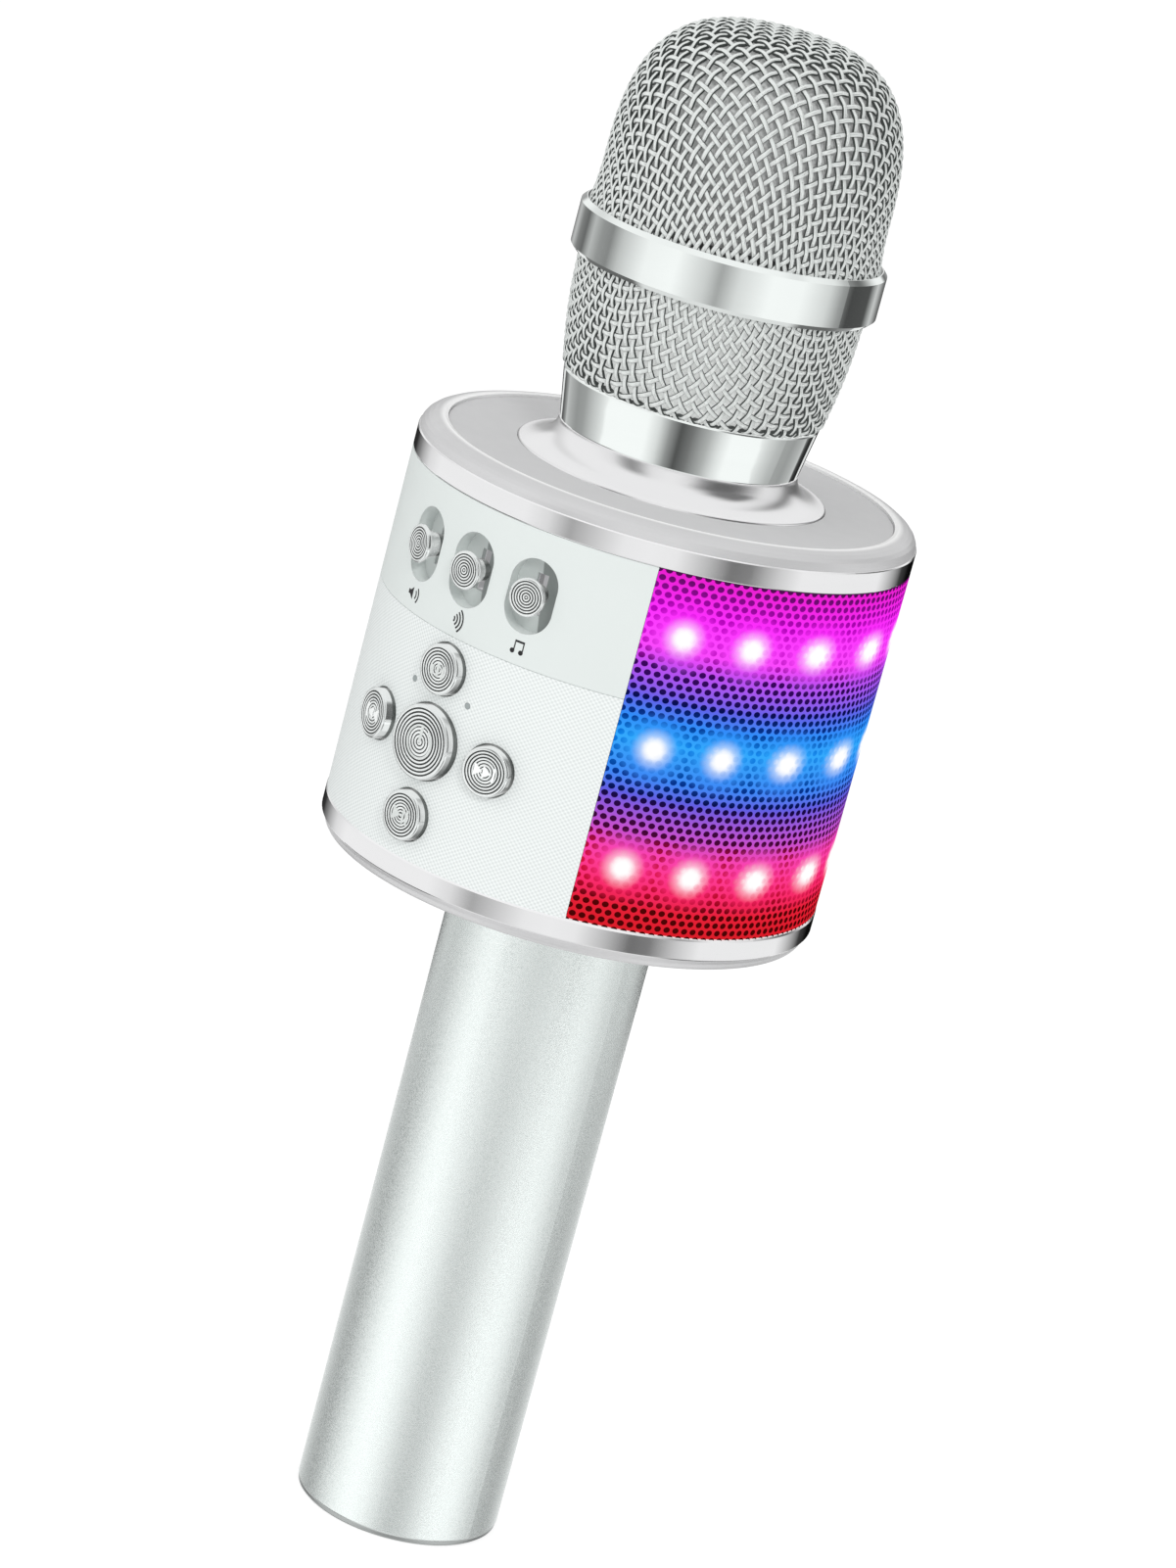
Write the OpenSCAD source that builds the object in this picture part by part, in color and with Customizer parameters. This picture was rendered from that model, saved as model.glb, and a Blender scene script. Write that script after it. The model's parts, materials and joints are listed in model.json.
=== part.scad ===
// Hand-held karaoke microphone: tube handle with a cell inside, a speaker drum with a
// control panel and a lit perforated grille, and a woven-wire head.
// Origin at the centre of the handle's end face, +Z along the microphone, panel facing -Y.

/* [Overall] */
// Height of the whole microphone, from handle end to the top of the wire dome
total_h = 256.4; // [255:0.1:260]
// Outside diameter of the drum wall
drum_d = 82; // [81.8:0.1:82.4]
// Outside diameter of the handle tube
handle_d = 34.5; // [34.3:0.1:34.7]
// Wall of the handle tube
tube_wall = 1.3; // [1:0.1:1.35]

/* [Drum] */
// Height of the drum's underside above the handle end
drum_z = 114.4; // [110:0.1:116]
// Height of the drum wall between the two bright rings
wall_h = 58.15; // [58:0.05:60]
// Thickness of the perforated grille
grille_t = 1.0; // [0.6:0.1:1.2]
// Thickness of the moulded panels
panel_t = 1.8; // [1.4:0.1:1.9]
// Angle that the control panel covers to the right of its buttons
panel_right = 42.3; // [42:0.1:43]
// Angle that the control panel covers to the left of its buttons
panel_left = 48.5; // [48:0.1:49]

/* [Controls] */
// Diameter of the power button where it passes through the panel
power_d = 12.0; // [11:0.1:12.2]
// Diameter of the four small buttons
small_d = 8.1; // [7.6:0.1:8.2]
// Gap round each button
button_gap = 0.3; // [0.25:0.01:0.35]
// How far a button goes in
button_travel = 0.8; // [0.3:0.1:0.8]
// How far a slider knob moves up, and as far down again
knob_travel = 2.3; // [1.5:0.1:2.3]
// Angle from one slider to the next
slider_pitch = 16.6; // [16.4:0.1:17]

/* [Lights] */
// Number of lights in each row
leds_per_row = 15; // [9:1:15]
// Angle from the panel's edges to the nearest lights
led_margin = 9.15; // [8:0.05:10]
// Side of one light's square package
led_size = 3.4; // [2:0.1:3.6]

/* [Head] */
// Radius of the dome's straight part
dome_r = 23.16; // [23:0.01:23.3]
// Height of the domed part above the straight part
dome_h = 25.85; // [25:0.05:26.5]
// Outside radius of the bright band round the head
band_r = 24.88; // [24.7:0.01:25.2]
// Thickness of the woven wire
mesh_t = 1.3; // [1:0.1:1.4]

/* [Inside] */
// Diameter of the cell
cell_d = 18.4; // [18:0.1:18.6]
// Length of the cell
cell_l = 65; // [64:0.1:65.2]
// Radius of a speaker's flange
speaker_r = 18; // [17:0.1:18.2]
// Radius of the microphone capsule
capsule_r = 9; // [7:0.1:9.05]

/* [Hidden] */
drum_r = drum_d / 2;
tube_r = handle_d / 2;
bore_r = tube_r - tube_wall;
neck_r = tube_r - 0.6;
lip_t = 1.85;
ring_h = 3.55;
ring_z = drum_z + lip_t + 0.05;
wall_z = ring_z + ring_h + 0.05;
wall_top = wall_z + wall_h;
top_ring_z = wall_top + 0.05;
floor_z = drum_z + 3.6;
floor_t = 2;
roof_z = wall_top - 1.5;
roof_top = wall_top;
chassis_r = 38.6;
ring_in = chassis_r + 0.2;
rib_in = 33;
rib_out = 36;
rib_half = 2.3;
rib_az = [panel_right + 3.2, 135, 180, 225, 356.7 - panel_left];
seam_z = 156.5;
slider_z = 167.6;
slot_w = 8.3;
slot_h = 12.1;
slit_w = 1.9;
slit_h = 6.6;
board_r = 34;
board_t = 0.6;
switch_r = board_r + board_t + 0.05;
stem_r = 37.15;
face_r = drum_r + 1.7;
knob_face_r = drum_r + 1.6;
power_z = 139.1;
side_z = 139;
mode_z = 151.2;
play_z = 126.8;
side_az = 17.5;
pipe_az = 8.4;
pipe_z = 147.35;
pipe_r = 0.5;
row_z = [167.9, 149.7, 130.0];
// azimuths of the lights: three near each end are spaced unevenly, the rest evenly
led_ends = [0, 15.95, 33.7, 54.2];
led_span = 360 - panel_left - panel_right - 2 * led_margin;
led_pitch = (led_span - 2 * led_ends[3]) / (leds_per_row - 7);
led_az = [
  for (i = [0 : leds_per_row - 1])
    let(left = leds_per_row - 1 - i)
      panel_right + led_margin + (
        i < 4 ? led_ends[i] :
        left < 4 ? led_span - led_ends[left] :
        led_ends[3] + (i - 3) * led_pitch
      )
];
strip_margin = 3.7;
speaker_z = 148;
baffle_x = 27.7;
baffle_half = 19;
screw_spots = [[22.4, -18.8], [-22.4, -18.8], [27.2, 12.7], [-27.2, 12.7]];
board_screw_az = [-27, 27];
board_screw_z = [124, 153.4, 161.5];
// buttons as [azimuth, height, diameter]
keys = [
  [0, power_z, power_d],
  [0, mode_z, small_d],
  [-side_az, side_z, small_d],
  [side_az, side_z, small_d],
  [0, play_z, small_d]
];
band_z = 215.3;
band_h = 8.3;
collar_z = 188.35;
collar_h = 8.2;
mesh_foot = 192.5;
dome_z = total_h - dome_h;
socket_y = 24.7;

$fn = 96;

// ---- helpers ----

// Places its children on a radial line: local Z points outwards, X to the right, Y up
module at_front(az, z) {
  translate([0, 0, z]) rotate([0, 0, az]) rotate([90, 0, 0]) children();
}

// Ring with bevelled corners
module ring(r_in, r_out, z0, z1, bevel = 0.2) {
  rotate_extrude()
    polygon([
      [r_in, z0], [r_out - bevel, z0], [r_out, z0 + bevel],
      [r_out, z1 - bevel], [r_out - bevel, z1], [r_in, z1]
    ]);
}

// Part of a ring between two azimuths
module arc_wall(r_in, r_out, z0, z1, az0, az1) {
  rotate([0, 0, az0 - 90])
    rotate_extrude(angle = az1 - az0)
      translate([r_in, z0])
        square([r_out - r_in, z1 - z0]);
}

// Plate with round ends, standing up
module obround(w, h, t) {
  linear_extrude(t) {
    square([w, h - w], center = true);
    translate([0, (h - w) / 2]) circle(d = w);
    translate([0, -(h - w) / 2]) circle(d = w);
  }
}

// Box centred across X and Y, from z0 to z1
module block(w, h, z0, z1) {
  translate([-w / 2, -h / 2, z0]) cube([w, h, z1 - z0]);
}

// Point at angle a on a circle round p, in the plane of u and v
function ring_point(p, u, v, r, a) = p + r * cos(a) * u + r * sin(a) * v;

// ---- handle ----

module handle_tube() {
  foot = 0.85;
  edge = 0.3;
  color("gainsboro")
    rotate_extrude()
      polygon([
        [bore_r, foot], [tube_r - edge, foot], [tube_r, foot + edge],
        [tube_r, drum_z - 0.1], [neck_r, drum_z - 0.1], [neck_r, floor_z - 0.1],
        [bore_r, floor_z - 0.1]
      ]);
}

module handle_end_cap() {
  flange = 0.8;
  plug_h = 8;
  plug_r = bore_r - 0.05;
  color("silver")
    rotate_extrude()
      polygon([
        [0, 0], [tube_r - 0.5, 0], [tube_r - 0.15, 0.3], [tube_r - 0.15, flange],
        [plug_r, flange], [plug_r, plug_h], [plug_r - 1.5, plug_h],
        [plug_r - 1.5, flange + 1], [0, flange + 1]
      ]);
}

sled_z = 20;
sled_h = 76;
sled_wall = 2;

module battery_sled() {
  color("dimgray")
    difference() {
      translate([0, 0, sled_z]) cylinder(r = bore_r - 0.25, h = sled_h);
      translate([0, 0, sled_z + sled_wall])
        cylinder(r = cell_d / 2 + 0.3, h = sled_h - 2 * sled_wall);
      translate([-20, -40, sled_z - 1]) cube([40, 34, sled_h + 2]);
      translate([-cell_d / 2, -40, sled_z + sled_wall])
        cube([cell_d, 40, sled_h - 2 * sled_wall]);
    }
}

cell_z = sled_z + sled_wall + 3.4;
nub_h = 1;

module battery_cell() {
  color("mediumseagreen")
    rotate_extrude()
      polygon([
        [0, cell_z], [cell_d / 2 - 0.4, cell_z], [cell_d / 2, cell_z + 0.4],
        [cell_d / 2, cell_z + cell_l - 0.4], [cell_d / 2 - 0.4, cell_z + cell_l],
        [3.6, cell_z + cell_l], [3.6, cell_z + cell_l + nub_h], [0, cell_z + cell_l + nub_h]
      ]);
}

// Coil of wire pressed between the sled's end wall and the cell
module battery_spring() {
  wire = 0.35;
  coil_r = 3.2;
  turns = 3;
  steps = 60;
  sides = 8;
  z0 = sled_z + sled_wall + wire + 0.05;
  rise = cell_z - 0.05 - wire - z0;
  points = [
    for (i = [0 : steps]) let(a = 360 * turns * i / steps, z = z0 + rise * i / steps)
      for (j = [0 : sides - 1])
        ring_point([coil_r * cos(a), coil_r * sin(a), z], [cos(a), sin(a), 0],
                   [0, 0, 1], wire, 360 * j / sides)
  ];
  skin = [
    for (i = [0 : steps - 1]) for (j = [0 : sides - 1])
      [i * sides + j, i * sides + (j + 1) % sides,
       (i + 1) * sides + (j + 1) % sides, (i + 1) * sides + j]
  ];
  first = [for (j = [0 : sides - 1]) sides - 1 - j];
  last = [for (j = [0 : sides - 1]) steps * sides + j];
  color("silver") polyhedron(points = points, faces = concat(skin, [first, last]));
}

module battery_contact() {
  plate_z = sled_z + sled_h - sled_wall - 0.5;
  nub_top = cell_z + cell_l + nub_h;
  color("silver") {
    block(9, 5, plate_z, plate_z + 0.4);
    translate([0, 0, nub_top + 0.05]) cylinder(r = 1.8, h = plate_z - nub_top);
  }
}

// ---- drum shell ----

module port_cuts(z0, z1) {
  h = z1 - z0;
  translate([-4.7, socket_y - 0.1, z0]) cube([9.4, 3.6, h]);
  translate([-17.7, socket_y - 0.1, z0]) cube([7.4, 6.4, h]);
  translate([7.9, socket_y - 0.1, z0]) cube([12.4, 2.4, h]);
}

module bottom_cover() {
  lip_r = drum_r - 0.7;
  round_r = 0.9;
  hole_r = neck_r + 0.1;
  color("whitesmoke")
    difference() {
      union() {
        rotate_extrude()
          polygon(concat(
            [[hole_r, drum_z]],
            [for (a = [-90 : 15 : 0])
              [lip_r - round_r + round_r * cos(a), drum_z + round_r + round_r * sin(a)]],
            [[lip_r, drum_z + lip_t], [hole_r, drum_z + lip_t]]
          ));
        ring(chassis_r - 2.6, chassis_r, drum_z + lip_t - 0.1, floor_z - 0.05, 0);
        ring(hole_r, hole_r + 2.4, drum_z + lip_t - 0.1, floor_z - 0.05, 0);
        for (p = screw_spots)
          translate([p[0], p[1], drum_z + lip_t - 0.1])
            cylinder(r = 3.4, h = floor_z - drum_z - lip_t + 0.05);
      }
      for (p = screw_spots) {
        translate([p[0], p[1], drum_z - 1]) cylinder(r = 2.6, h = 2.5);
        translate([p[0], p[1], drum_z - 1]) cylinder(r = 1.4, h = 10);
      }
      port_cuts(drum_z - 1, floor_z + 1);
    }
}

module lower_trim_ring() {
  color("silver") ring(ring_in, drum_r + 0.1, ring_z, ring_z + ring_h, 0.25);
}

module speaker_baffle(side) {
  wall = 1.4;
  difference() {
    translate([side * baffle_x - wall / 2, -baffle_half, floor_z + 1])
      cube([wall, 2 * baffle_half, roof_z - floor_z]);
    translate([side * baffle_x - wall, 0, speaker_z])
      rotate([0, 90, 0]) cylinder(r = speaker_r - 2.4, h = 2 * wall);
  }
}

module drum_chassis() {
  plug_in = 12.5;
  plug_drop = 12;
  cradle_in = 32.4;
  cradle_half = 38;
  post_x = 22.6;
  post_w = 2.8;
  color("gray")
    difference() {
      union() {
        ring(plug_in, bore_r - 0.1, floor_z - plug_drop, floor_z + 0.5, 0);
        ring(plug_in, chassis_r, floor_z, floor_z + floor_t, 0);
        ring(10, chassis_r, roof_z, roof_top, 0);
        ring(rib_in, chassis_r, roof_z, roof_top + 2, 0);
        arc_wall(cradle_in, board_r - 0.05, floor_z + 1, roof_z + 1, -cradle_half, cradle_half);
        for (az = rib_az)
          arc_wall(rib_in, rib_out, floor_z + 1, roof_z + 1, az - rib_half, az + rib_half);
        for (side = [-1, 1]) {
          speaker_baffle(side);
          translate([side * post_x - post_w / 2, 22, floor_z + 1])
            cube([post_w, 4, roof_z - floor_z]);
        }
        for (p = screw_spots)
          translate([p[0], p[1], floor_z]) cylinder(r = 3, h = 10);
      }
      for (p = screw_spots)
        translate([p[0], p[1], floor_z - 1]) cylinder(r = 1.2, h = 10);
      for (az = board_screw_az) for (z = board_screw_z)
        at_front(az, z) translate([0, 0, cradle_in - 1.4]) cylinder(r = 0.85, h = 4);
      port_cuts(floor_z - 1, floor_z + floor_t + 0.1);
    }
}

// A length of drum wall with a moulded panel's thickness
module panel_wall(z0, z1) {
  arc_wall(drum_r - panel_t, drum_r, z0, z1, 0.05 - panel_left, panel_right - 0.05);
}

well_floor = 38.2;
well_floor_t = 0.8;

module slider_panel() {
  color("whitesmoke")
    difference() {
      union() {
        panel_wall(seam_z + 0.05, wall_top - 0.05);
        for (i = [-1 : 1])
          at_front(i * slider_pitch, slider_z)
            translate([0, 0, well_floor - well_floor_t])
              obround(slot_w + 1.6, slot_h + 1.6, drum_r - well_floor);
      }
      for (i = [-1 : 1])
        at_front(i * slider_pitch, slider_z) {
          translate([0, 0, well_floor]) obround(slot_w, slot_h, 6);
          block(slit_w, slit_h, well_floor - 2, well_floor + 1);
        }
    }
}

module button_panel() {
  color("white")
    difference() {
      panel_wall(wall_z, seam_z - 0.05);
      for (k = keys)
        at_front(k[0], k[1])
          translate([0, 0, rib_out]) cylinder(r = k[2] / 2 + button_gap, h = 8);
      for (side = [-1, 1])
        at_front(side * pipe_az, pipe_z)
          translate([0, 0, rib_out]) cylinder(r = pipe_r + 0.05, h = 8);
    }
}

module speaker_grille() {
  color("violet")
    arc_wall(drum_r - grille_t, drum_r, wall_z, wall_top - 0.05,
             panel_right + 0.05, 359.95 - panel_left);
}

module light_diffuser() {
  film_r = chassis_r + 0.1;
  film_t = 0.5;
  color("white")
    arc_wall(film_r, film_r + film_t, floor_z + floor_t + 0.05, wall_top - 0.1,
             panel_right + 0.9, 359.1 - panel_left);
}

module light_strip(row) {
  half = 3.5;
  color("white")
    arc_wall(rib_out + 0.1, rib_out + 0.4, row_z[row] - half, row_z[row] + half,
             panel_right + strip_margin, 360 - panel_left - strip_margin);
}
module light_strip_upper() { light_strip(0); }
module light_strip_middle() { light_strip(1); }
module light_strip_lower() { light_strip(2); }

module lights(row) {
  color("lavender")
    for (az = led_az)
      at_front(az, row_z[row]) block(led_size, led_size, rib_out + 0.45, rib_out + 1.9);
}
module lights_upper() { lights(0); }
module lights_middle() { lights(1); }
module lights_lower() { lights(2); }

module upper_trim_ring() {
  color("silver") ring(ring_in, drum_r, top_ring_z, top_ring_z + 3.5, 0.15);
}

bezel_z = top_ring_z + 3.53;
bezel_in = 36.75;
plate_top = 183.65;

module top_bezel() {
  crest_r = 37.3;
  crest_z = 184.2;
  foot_r = drum_r - 0.2;
  color("gainsboro")
    rotate_extrude()
      polygon(concat(
        [[34.5, roof_top + 2.05], [chassis_r, roof_top + 2.05], [chassis_r, bezel_z],
         [foot_r, bezel_z]],
        [for (a = [15 : 15 : 90])
          [crest_r + (foot_r - crest_r) * cos(a), bezel_z + (crest_z - bezel_z) * sin(a)]],
        [[bezel_in, crest_z - 0.15], [bezel_in, plate_top - 1.7], [34.5, plate_top - 1.7]]
      ));
}

skirt_r = 25.3;

module top_plate() {
  color("silver") ring(skirt_r + 0.1, bezel_in - 0.1, plate_top - 1.65, plate_top, 0.1);
}

module neck_skirt() {
  foot_z = plate_top + 0.35;
  neck_r = 19.65;
  bore = 18;
  color("white")
    rotate_extrude()
      polygon(concat(
        [[bore, roof_top + 0.05], [skirt_r, roof_top + 0.05], [skirt_r, plate_top - 0.05]],
        [for (a = [0 : 30 : 60])
          [skirt_r - 0.35 + 0.35 * cos(a), plate_top + 0.35 * sin(a)]],
        [for (a = [0 : 10 : 90])
          [neck_r + (skirt_r - 0.35 - neck_r) * (1 - sin(a)),
           foot_z + (collar_z - 0.05 - foot_z) * (1 - cos(a))]],
        [[bore, collar_z - 0.05]]
      ));
}

module neck_collar() {
  color("silver")
    rotate_extrude()
      polygon([
        [16.2, roof_top + 0.05], [17.95, roof_top + 0.05], [17.95, collar_z],
        [19.45, collar_z], [19.6, collar_z + 0.15], [20.95, collar_z + collar_h - 0.2],
        [20.8, collar_z + collar_h], [20.15, collar_z + collar_h], [19.62, mesh_foot - 0.05],
        [17.8, mesh_foot - 0.05], [17.8, collar_z + 1.6], [14.8, collar_z + 1.6],
        [14.8, collar_z + 0.1], [16.2, collar_z + 0.1]
      ]);
}

// ---- head ----

basket_top = 217.6;

module lower_basket() {
  low_z = 197.4;
  low_r = 21.5;
  top_r = 23.36;
  bulge = 0.54;
  outer = [
    for (i = [0 : 8])
      let(t = i / 8)
        [low_r + (top_r - low_r) * t + bulge * sin(180 * t), low_z + (basket_top - low_z) * t]
  ];
  color("lightgray")
    rotate_extrude()
      polygon(concat(
        [[19.5, mesh_foot], [20.1, collar_z + collar_h - 0.1], [20.1, collar_z + collar_h + 0.1],
         [21, collar_z + collar_h + 0.3]],
        outer,
        [for (i = [8 : -1 : 0]) [outer[i][0] - mesh_t, outer[i][1]]],
        [[19.5 - mesh_t, mesh_foot + 2], [19.5 - mesh_t, mesh_foot]]
      ));
}

module head_band() {
  bore = 23.98;
  bevel = 0.75;
  web_z = basket_top + 0.05;
  color("silver")
    rotate_extrude()
      polygon([
        [bore, band_z], [band_r - bevel, band_z], [band_r, band_z + bevel],
        [band_r, band_z + band_h - bevel], [band_r - bevel, band_z + band_h],
        [bore, band_z + band_h], [bore, web_z + 1.5], [21.9, web_z + 1.5], [21.9, web_z],
        [bore, web_z]
      ]);
}

hem_z = basket_top + 1.6;
// Outline of the dome, its radius and height reduced by inset
function dome_outline(inset) = concat(
  [for (t = [0 : 0.25 : 1])
    [dome_r - inset + 0.73 * (1 - sin(90 * t)), hem_z + 2.5 + (dome_z - hem_z - 2.5) * t]],
  [for (a = [7.5 : 7.5 : 82.5])
    [(dome_r - inset) * pow(cos(a), 2 / 3.16), dome_z + (dome_h - inset) * pow(sin(a), 2 / 2.68)]],
  [[0, dome_z + dome_h - inset]]
);

// Closed shell between two insets of the dome outline
module dome_shell(inset, thick, foot) {
  outer = dome_outline(inset);
  inner = dome_outline(inset + thick);
  last = len(inner) - 1;
  rotate_extrude()
    polygon(concat(
      [[outer[0][0], foot]], outer, [for (i = [last : -1 : 0]) inner[i]],
      [[inner[0][0], foot]]
    ));
}

module dome_mesh() {
  color("lightgray") dome_shell(0, mesh_t, hem_z);
}

module dome_foam() {
  color("gray") dome_shell(mesh_t + 0.3, 5, hem_z);
}

module basket_foam() {
  color("silver")
    rotate_extrude()
      polygon([
        [13, mesh_foot + 0.6], [17.8, mesh_foot + 0.6], [17.8, 195], [19.9, 198.2],
        [21.5, basket_top - 0.1], [13, basket_top - 0.1]
      ]);
}

cup_z = 202;

module capsule_holder() {
  foot_z = collar_z + 1.65;
  wall = 1.5;
  color("dimgray")
    rotate_extrude()
      polygon([
        [3.4, foot_z], [17.6, foot_z], [17.6, foot_z + 1.8], [5.5, foot_z + 1.8],
        [5.5, cup_z], [capsule_r + 0.1 + wall, cup_z], [capsule_r + 0.1 + wall, cup_z + 17],
        [capsule_r + 0.1, cup_z + 17], [capsule_r + 0.1, cup_z + wall], [3.4, cup_z + wall]
      ]);
}

module mic_capsule() {
  color("goldenrod") ring(0, capsule_r, cup_z + 1.6, cup_z + 19, 0.5);
}

// ---- electronics ----

module main_board() {
  board_z = floor_z + floor_t + 0.4;
  board_top = 172;
  color("darkgreen") {
    translate([-21.1, socket_y - 1.65, board_z]) cube([42.2, 1.6, board_top - board_z]);
    translate([-6, socket_y - 3.2, 144]) cube([12, 1.6, 12]);
    translate([8, socket_y - 2.6, 160]) cube([8, 1, 6]);
    for (x = [-14, 14])
      translate([x, socket_y - 1.6, 136]) rotate([90, 0, 0]) cylinder(r = 3, h = 7);
  }
}

module curved_board(z0, z1) {
  half = 31;
  difference() {
    arc_wall(board_r, board_r + board_t, z0, z1, -half, half);
    for (az = board_screw_az) for (z = board_screw_z)
      at_front(az, z) translate([0, 0, board_r - 2]) cylinder(r = 0.9, h = 4);
  }
}

module key_board() {
  color("green") curved_board(floor_z + 3, seam_z - 0.5);
}

module slider_board() {
  color("green") curved_board(seam_z + 0.5, roof_z - 0.5);
}

module slide_pots() {
  pot_top = 37.2;
  color("slategray")
    for (i = [-1 : 1])
      at_front(i * slider_pitch, slider_z)
        difference() {
          block(6, 13, switch_r, pot_top);
          block(slit_w, slit_h, switch_r + 0.9, pot_top + 1);
        }
}

module key_switches() {
  plunger_top = stem_r - button_travel - 0.1;
  color("dimgray")
    for (k = keys)
      at_front(k[0], k[1]) {
        block(6, 6, switch_r, plunger_top - 0.35);
        translate([0, 0, switch_r]) cylinder(r = 1.7, h = plunger_top - switch_r);
      }
}

// Button with a rounded rim, a retaining flange behind the panel and a stem
module button(k) {
  r = k[2] / 2;
  flange_r = r + button_gap + 0.22;
  rim = 0.5;
  color("silver")
    at_front(k[0], k[1])
      rotate_extrude()
        polygon(concat(
          [[0, stem_r], [1.6, stem_r], [1.6, 37.6], [flange_r, 37.6], [flange_r, 38.2],
           [r, 38.2]],
          [for (a = [0 : 15 : 90])
            [r - rim + rim * cos(a), face_r - rim + rim * sin(a)]],
          [[0, face_r]]
        ));
}
module power_button() { button(keys[0]); }
module mode_button() { button(keys[1]); }
module previous_button() { button(keys[2]); }
module next_button() { button(keys[3]); }
module play_button() { button(keys[4]); }

lever_w = 1.4;
lever_top = 40.6;

// Slider knob with a flared foot, a small face and a square socket for its lever
module knob(i) {
  foot_r = 3.4;
  cap_r = 3.05;
  color("silver")
    at_front(i * slider_pitch, slider_z)
      difference() {
        rotate_extrude()
          polygon([
            [0, well_floor + 0.15], [foot_r, well_floor + 0.15], [foot_r - 0.15, 40.4],
            [cap_r - 0.15, 41.2], [cap_r, 41.35], [cap_r, knob_face_r - 0.25],
            [cap_r - 0.25, knob_face_r], [0, knob_face_r]
          ]);
        block(lever_w + 0.1, lever_w + 0.1, well_floor - 1, lever_top + 0.05);
      }
}
module volume_knob() { knob(-1); }
module echo_knob() { knob(0); }
module music_knob() { knob(1); }

module lever(i) {
  color("gray")
    at_front(i * slider_pitch, slider_z) block(lever_w, lever_w, switch_r + 1.1, lever_top);
}
module volume_lever() { lever(-1); }
module echo_lever() { lever(0); }
module music_lever() { lever(1); }

// Turns its children so that local Z points out through the side of the drum
module at_side(side) {
  translate([0, 0, speaker_z]) rotate([0, side * 90, 0]) children();
}

speaker_x = 28.45;

module speaker_frame(side) {
  color("dimgray")
    at_side(side)
      rotate_extrude()
        polygon([
          [0, 18.2], [10.5, 18.2], [15.3, speaker_x], [speaker_r, speaker_x],
          [speaker_r, speaker_x + 1.5], [14.6, speaker_x + 1.5], [9.7, 19], [0, 19]
        ]);
}

module speaker_cone(side) {
  color("black")
    at_side(side)
      rotate_extrude()
        polygon([
          [0, 23.4], [4, 22.6], [5, 21.8], [14.2, speaker_x + 1], [14.2, speaker_x + 1.4],
          [13.6, speaker_x + 1.4], [5, 22.4], [4, 23.2], [0, 24]
        ]);
}

module speaker_magnet(side) {
  color("darkgray") at_side(side) ring(0, 11, 11.2, 18.15, 0.4);
}

module speaker_frame_left() { speaker_frame(-1); }
module speaker_frame_right() { speaker_frame(1); }
module speaker_cone_left() { speaker_cone(-1); }
module speaker_cone_right() { speaker_cone(1); }
module speaker_magnet_left() { speaker_magnet(-1); }
module speaker_magnet_right() { speaker_magnet(1); }

module status_light_pipes() {
  color("lightblue")
    for (side = [-1, 1])
      at_front(side * pipe_az, pipe_z)
        translate([0, 0, switch_r]) cylinder(r = pipe_r, h = drum_r - switch_r);
}

module usb_socket() {
  color("silver")
    difference() {
      translate([-4.5, socket_y, drum_z + 0.2]) cube([9, 3.3, 7.6]);
      translate([-4.15, socket_y + 0.35, drum_z]) cube([8.3, 2.6, 6.6]);
    }
}

aux_x = -14;
aux_y = socket_y + 3;
aux_bore = 1.8;
aux_depth = 11;

module aux_jack() {
  color("dimgray")
    difference() {
      translate([aux_x - 3.5, socket_y, drum_z + 0.2]) cube([7, 6, 12.6]);
      translate([aux_x, aux_y, drum_z]) cylinder(r = aux_bore, h = aux_depth + 0.2);
    }
}

module card_socket() {
  color("silver")
    difference() {
      translate([8, socket_y, drum_z + 0.2]) cube([12, 2, 14]);
      translate([8.4, socket_y + 0.5, drum_z]) cube([11.2, 1, 12]);
    }
}

module cover_screws() {
  color("gray")
    for (p = screw_spots)
      translate([p[0], p[1], drum_z + 0.2]) {
        cylinder(r = 2.4, h = 1.25);
        cylinder(r = 1.15, h = 11);
      }
}

module board_screws() {
  head_z = board_r + board_t + 0.02;
  color("gray")
    for (az = board_screw_az) for (z = board_screw_z)
      at_front(az, z) {
        translate([0, 0, head_z - 2.4]) cylinder(r = 0.8, h = 2.5);
        translate([0, 0, head_z]) cylinder(r = 1.5, h = 0.7);
      }
}

// One insulated lead: up along the axis, then back to the main board
module lead(x, z_end, z_turn) {
  wire = 0.6;
  low = min(z_end, z_turn);
  translate([x, 0, low]) cylinder(r = wire, h = abs(z_turn - z_end));
  translate([x, 0, z_turn]) sphere(r = wire);
  translate([x, 0, z_turn]) rotate([-90, 0, 0]) cylinder(r = wire, h = socket_y - 1.8);
}

module wiring_loom() {
  sled_top = sled_z + sled_h;
  color("firebrick") {
    lead(-1.2, sled_top + 0.1, 126);
    lead(1.2, sled_top + 0.1, 128.5);
    lead(-1.2, cup_z + 1.5, 159);
    lead(1.2, cup_z + 1.5, 161.5);
  }
}

handle_tube();
handle_end_cap();
battery_sled();
battery_cell();
battery_spring();
battery_contact();
bottom_cover();
lower_trim_ring();
drum_chassis();
slider_panel();
button_panel();
speaker_grille();
light_diffuser();
light_strip_upper();
light_strip_middle();
light_strip_lower();
lights_upper();
lights_middle();
lights_lower();
upper_trim_ring();
top_bezel();
top_plate();
neck_skirt();
neck_collar();
lower_basket();
head_band();
dome_mesh();
dome_foam();
basket_foam();
capsule_holder();
mic_capsule();
main_board();
key_board();
slider_board();
slide_pots();
key_switches();
power_button();
mode_button();
previous_button();
next_button();
play_button();
volume_knob();
echo_knob();
music_knob();
volume_lever();
echo_lever();
music_lever();
speaker_frame_left();
speaker_magnet_left();
speaker_cone_left();
speaker_frame_right();
speaker_magnet_right();
speaker_cone_right();
status_light_pipes();
usb_socket();
aux_jack();
card_socket();
cover_screws();
board_screws();
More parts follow.
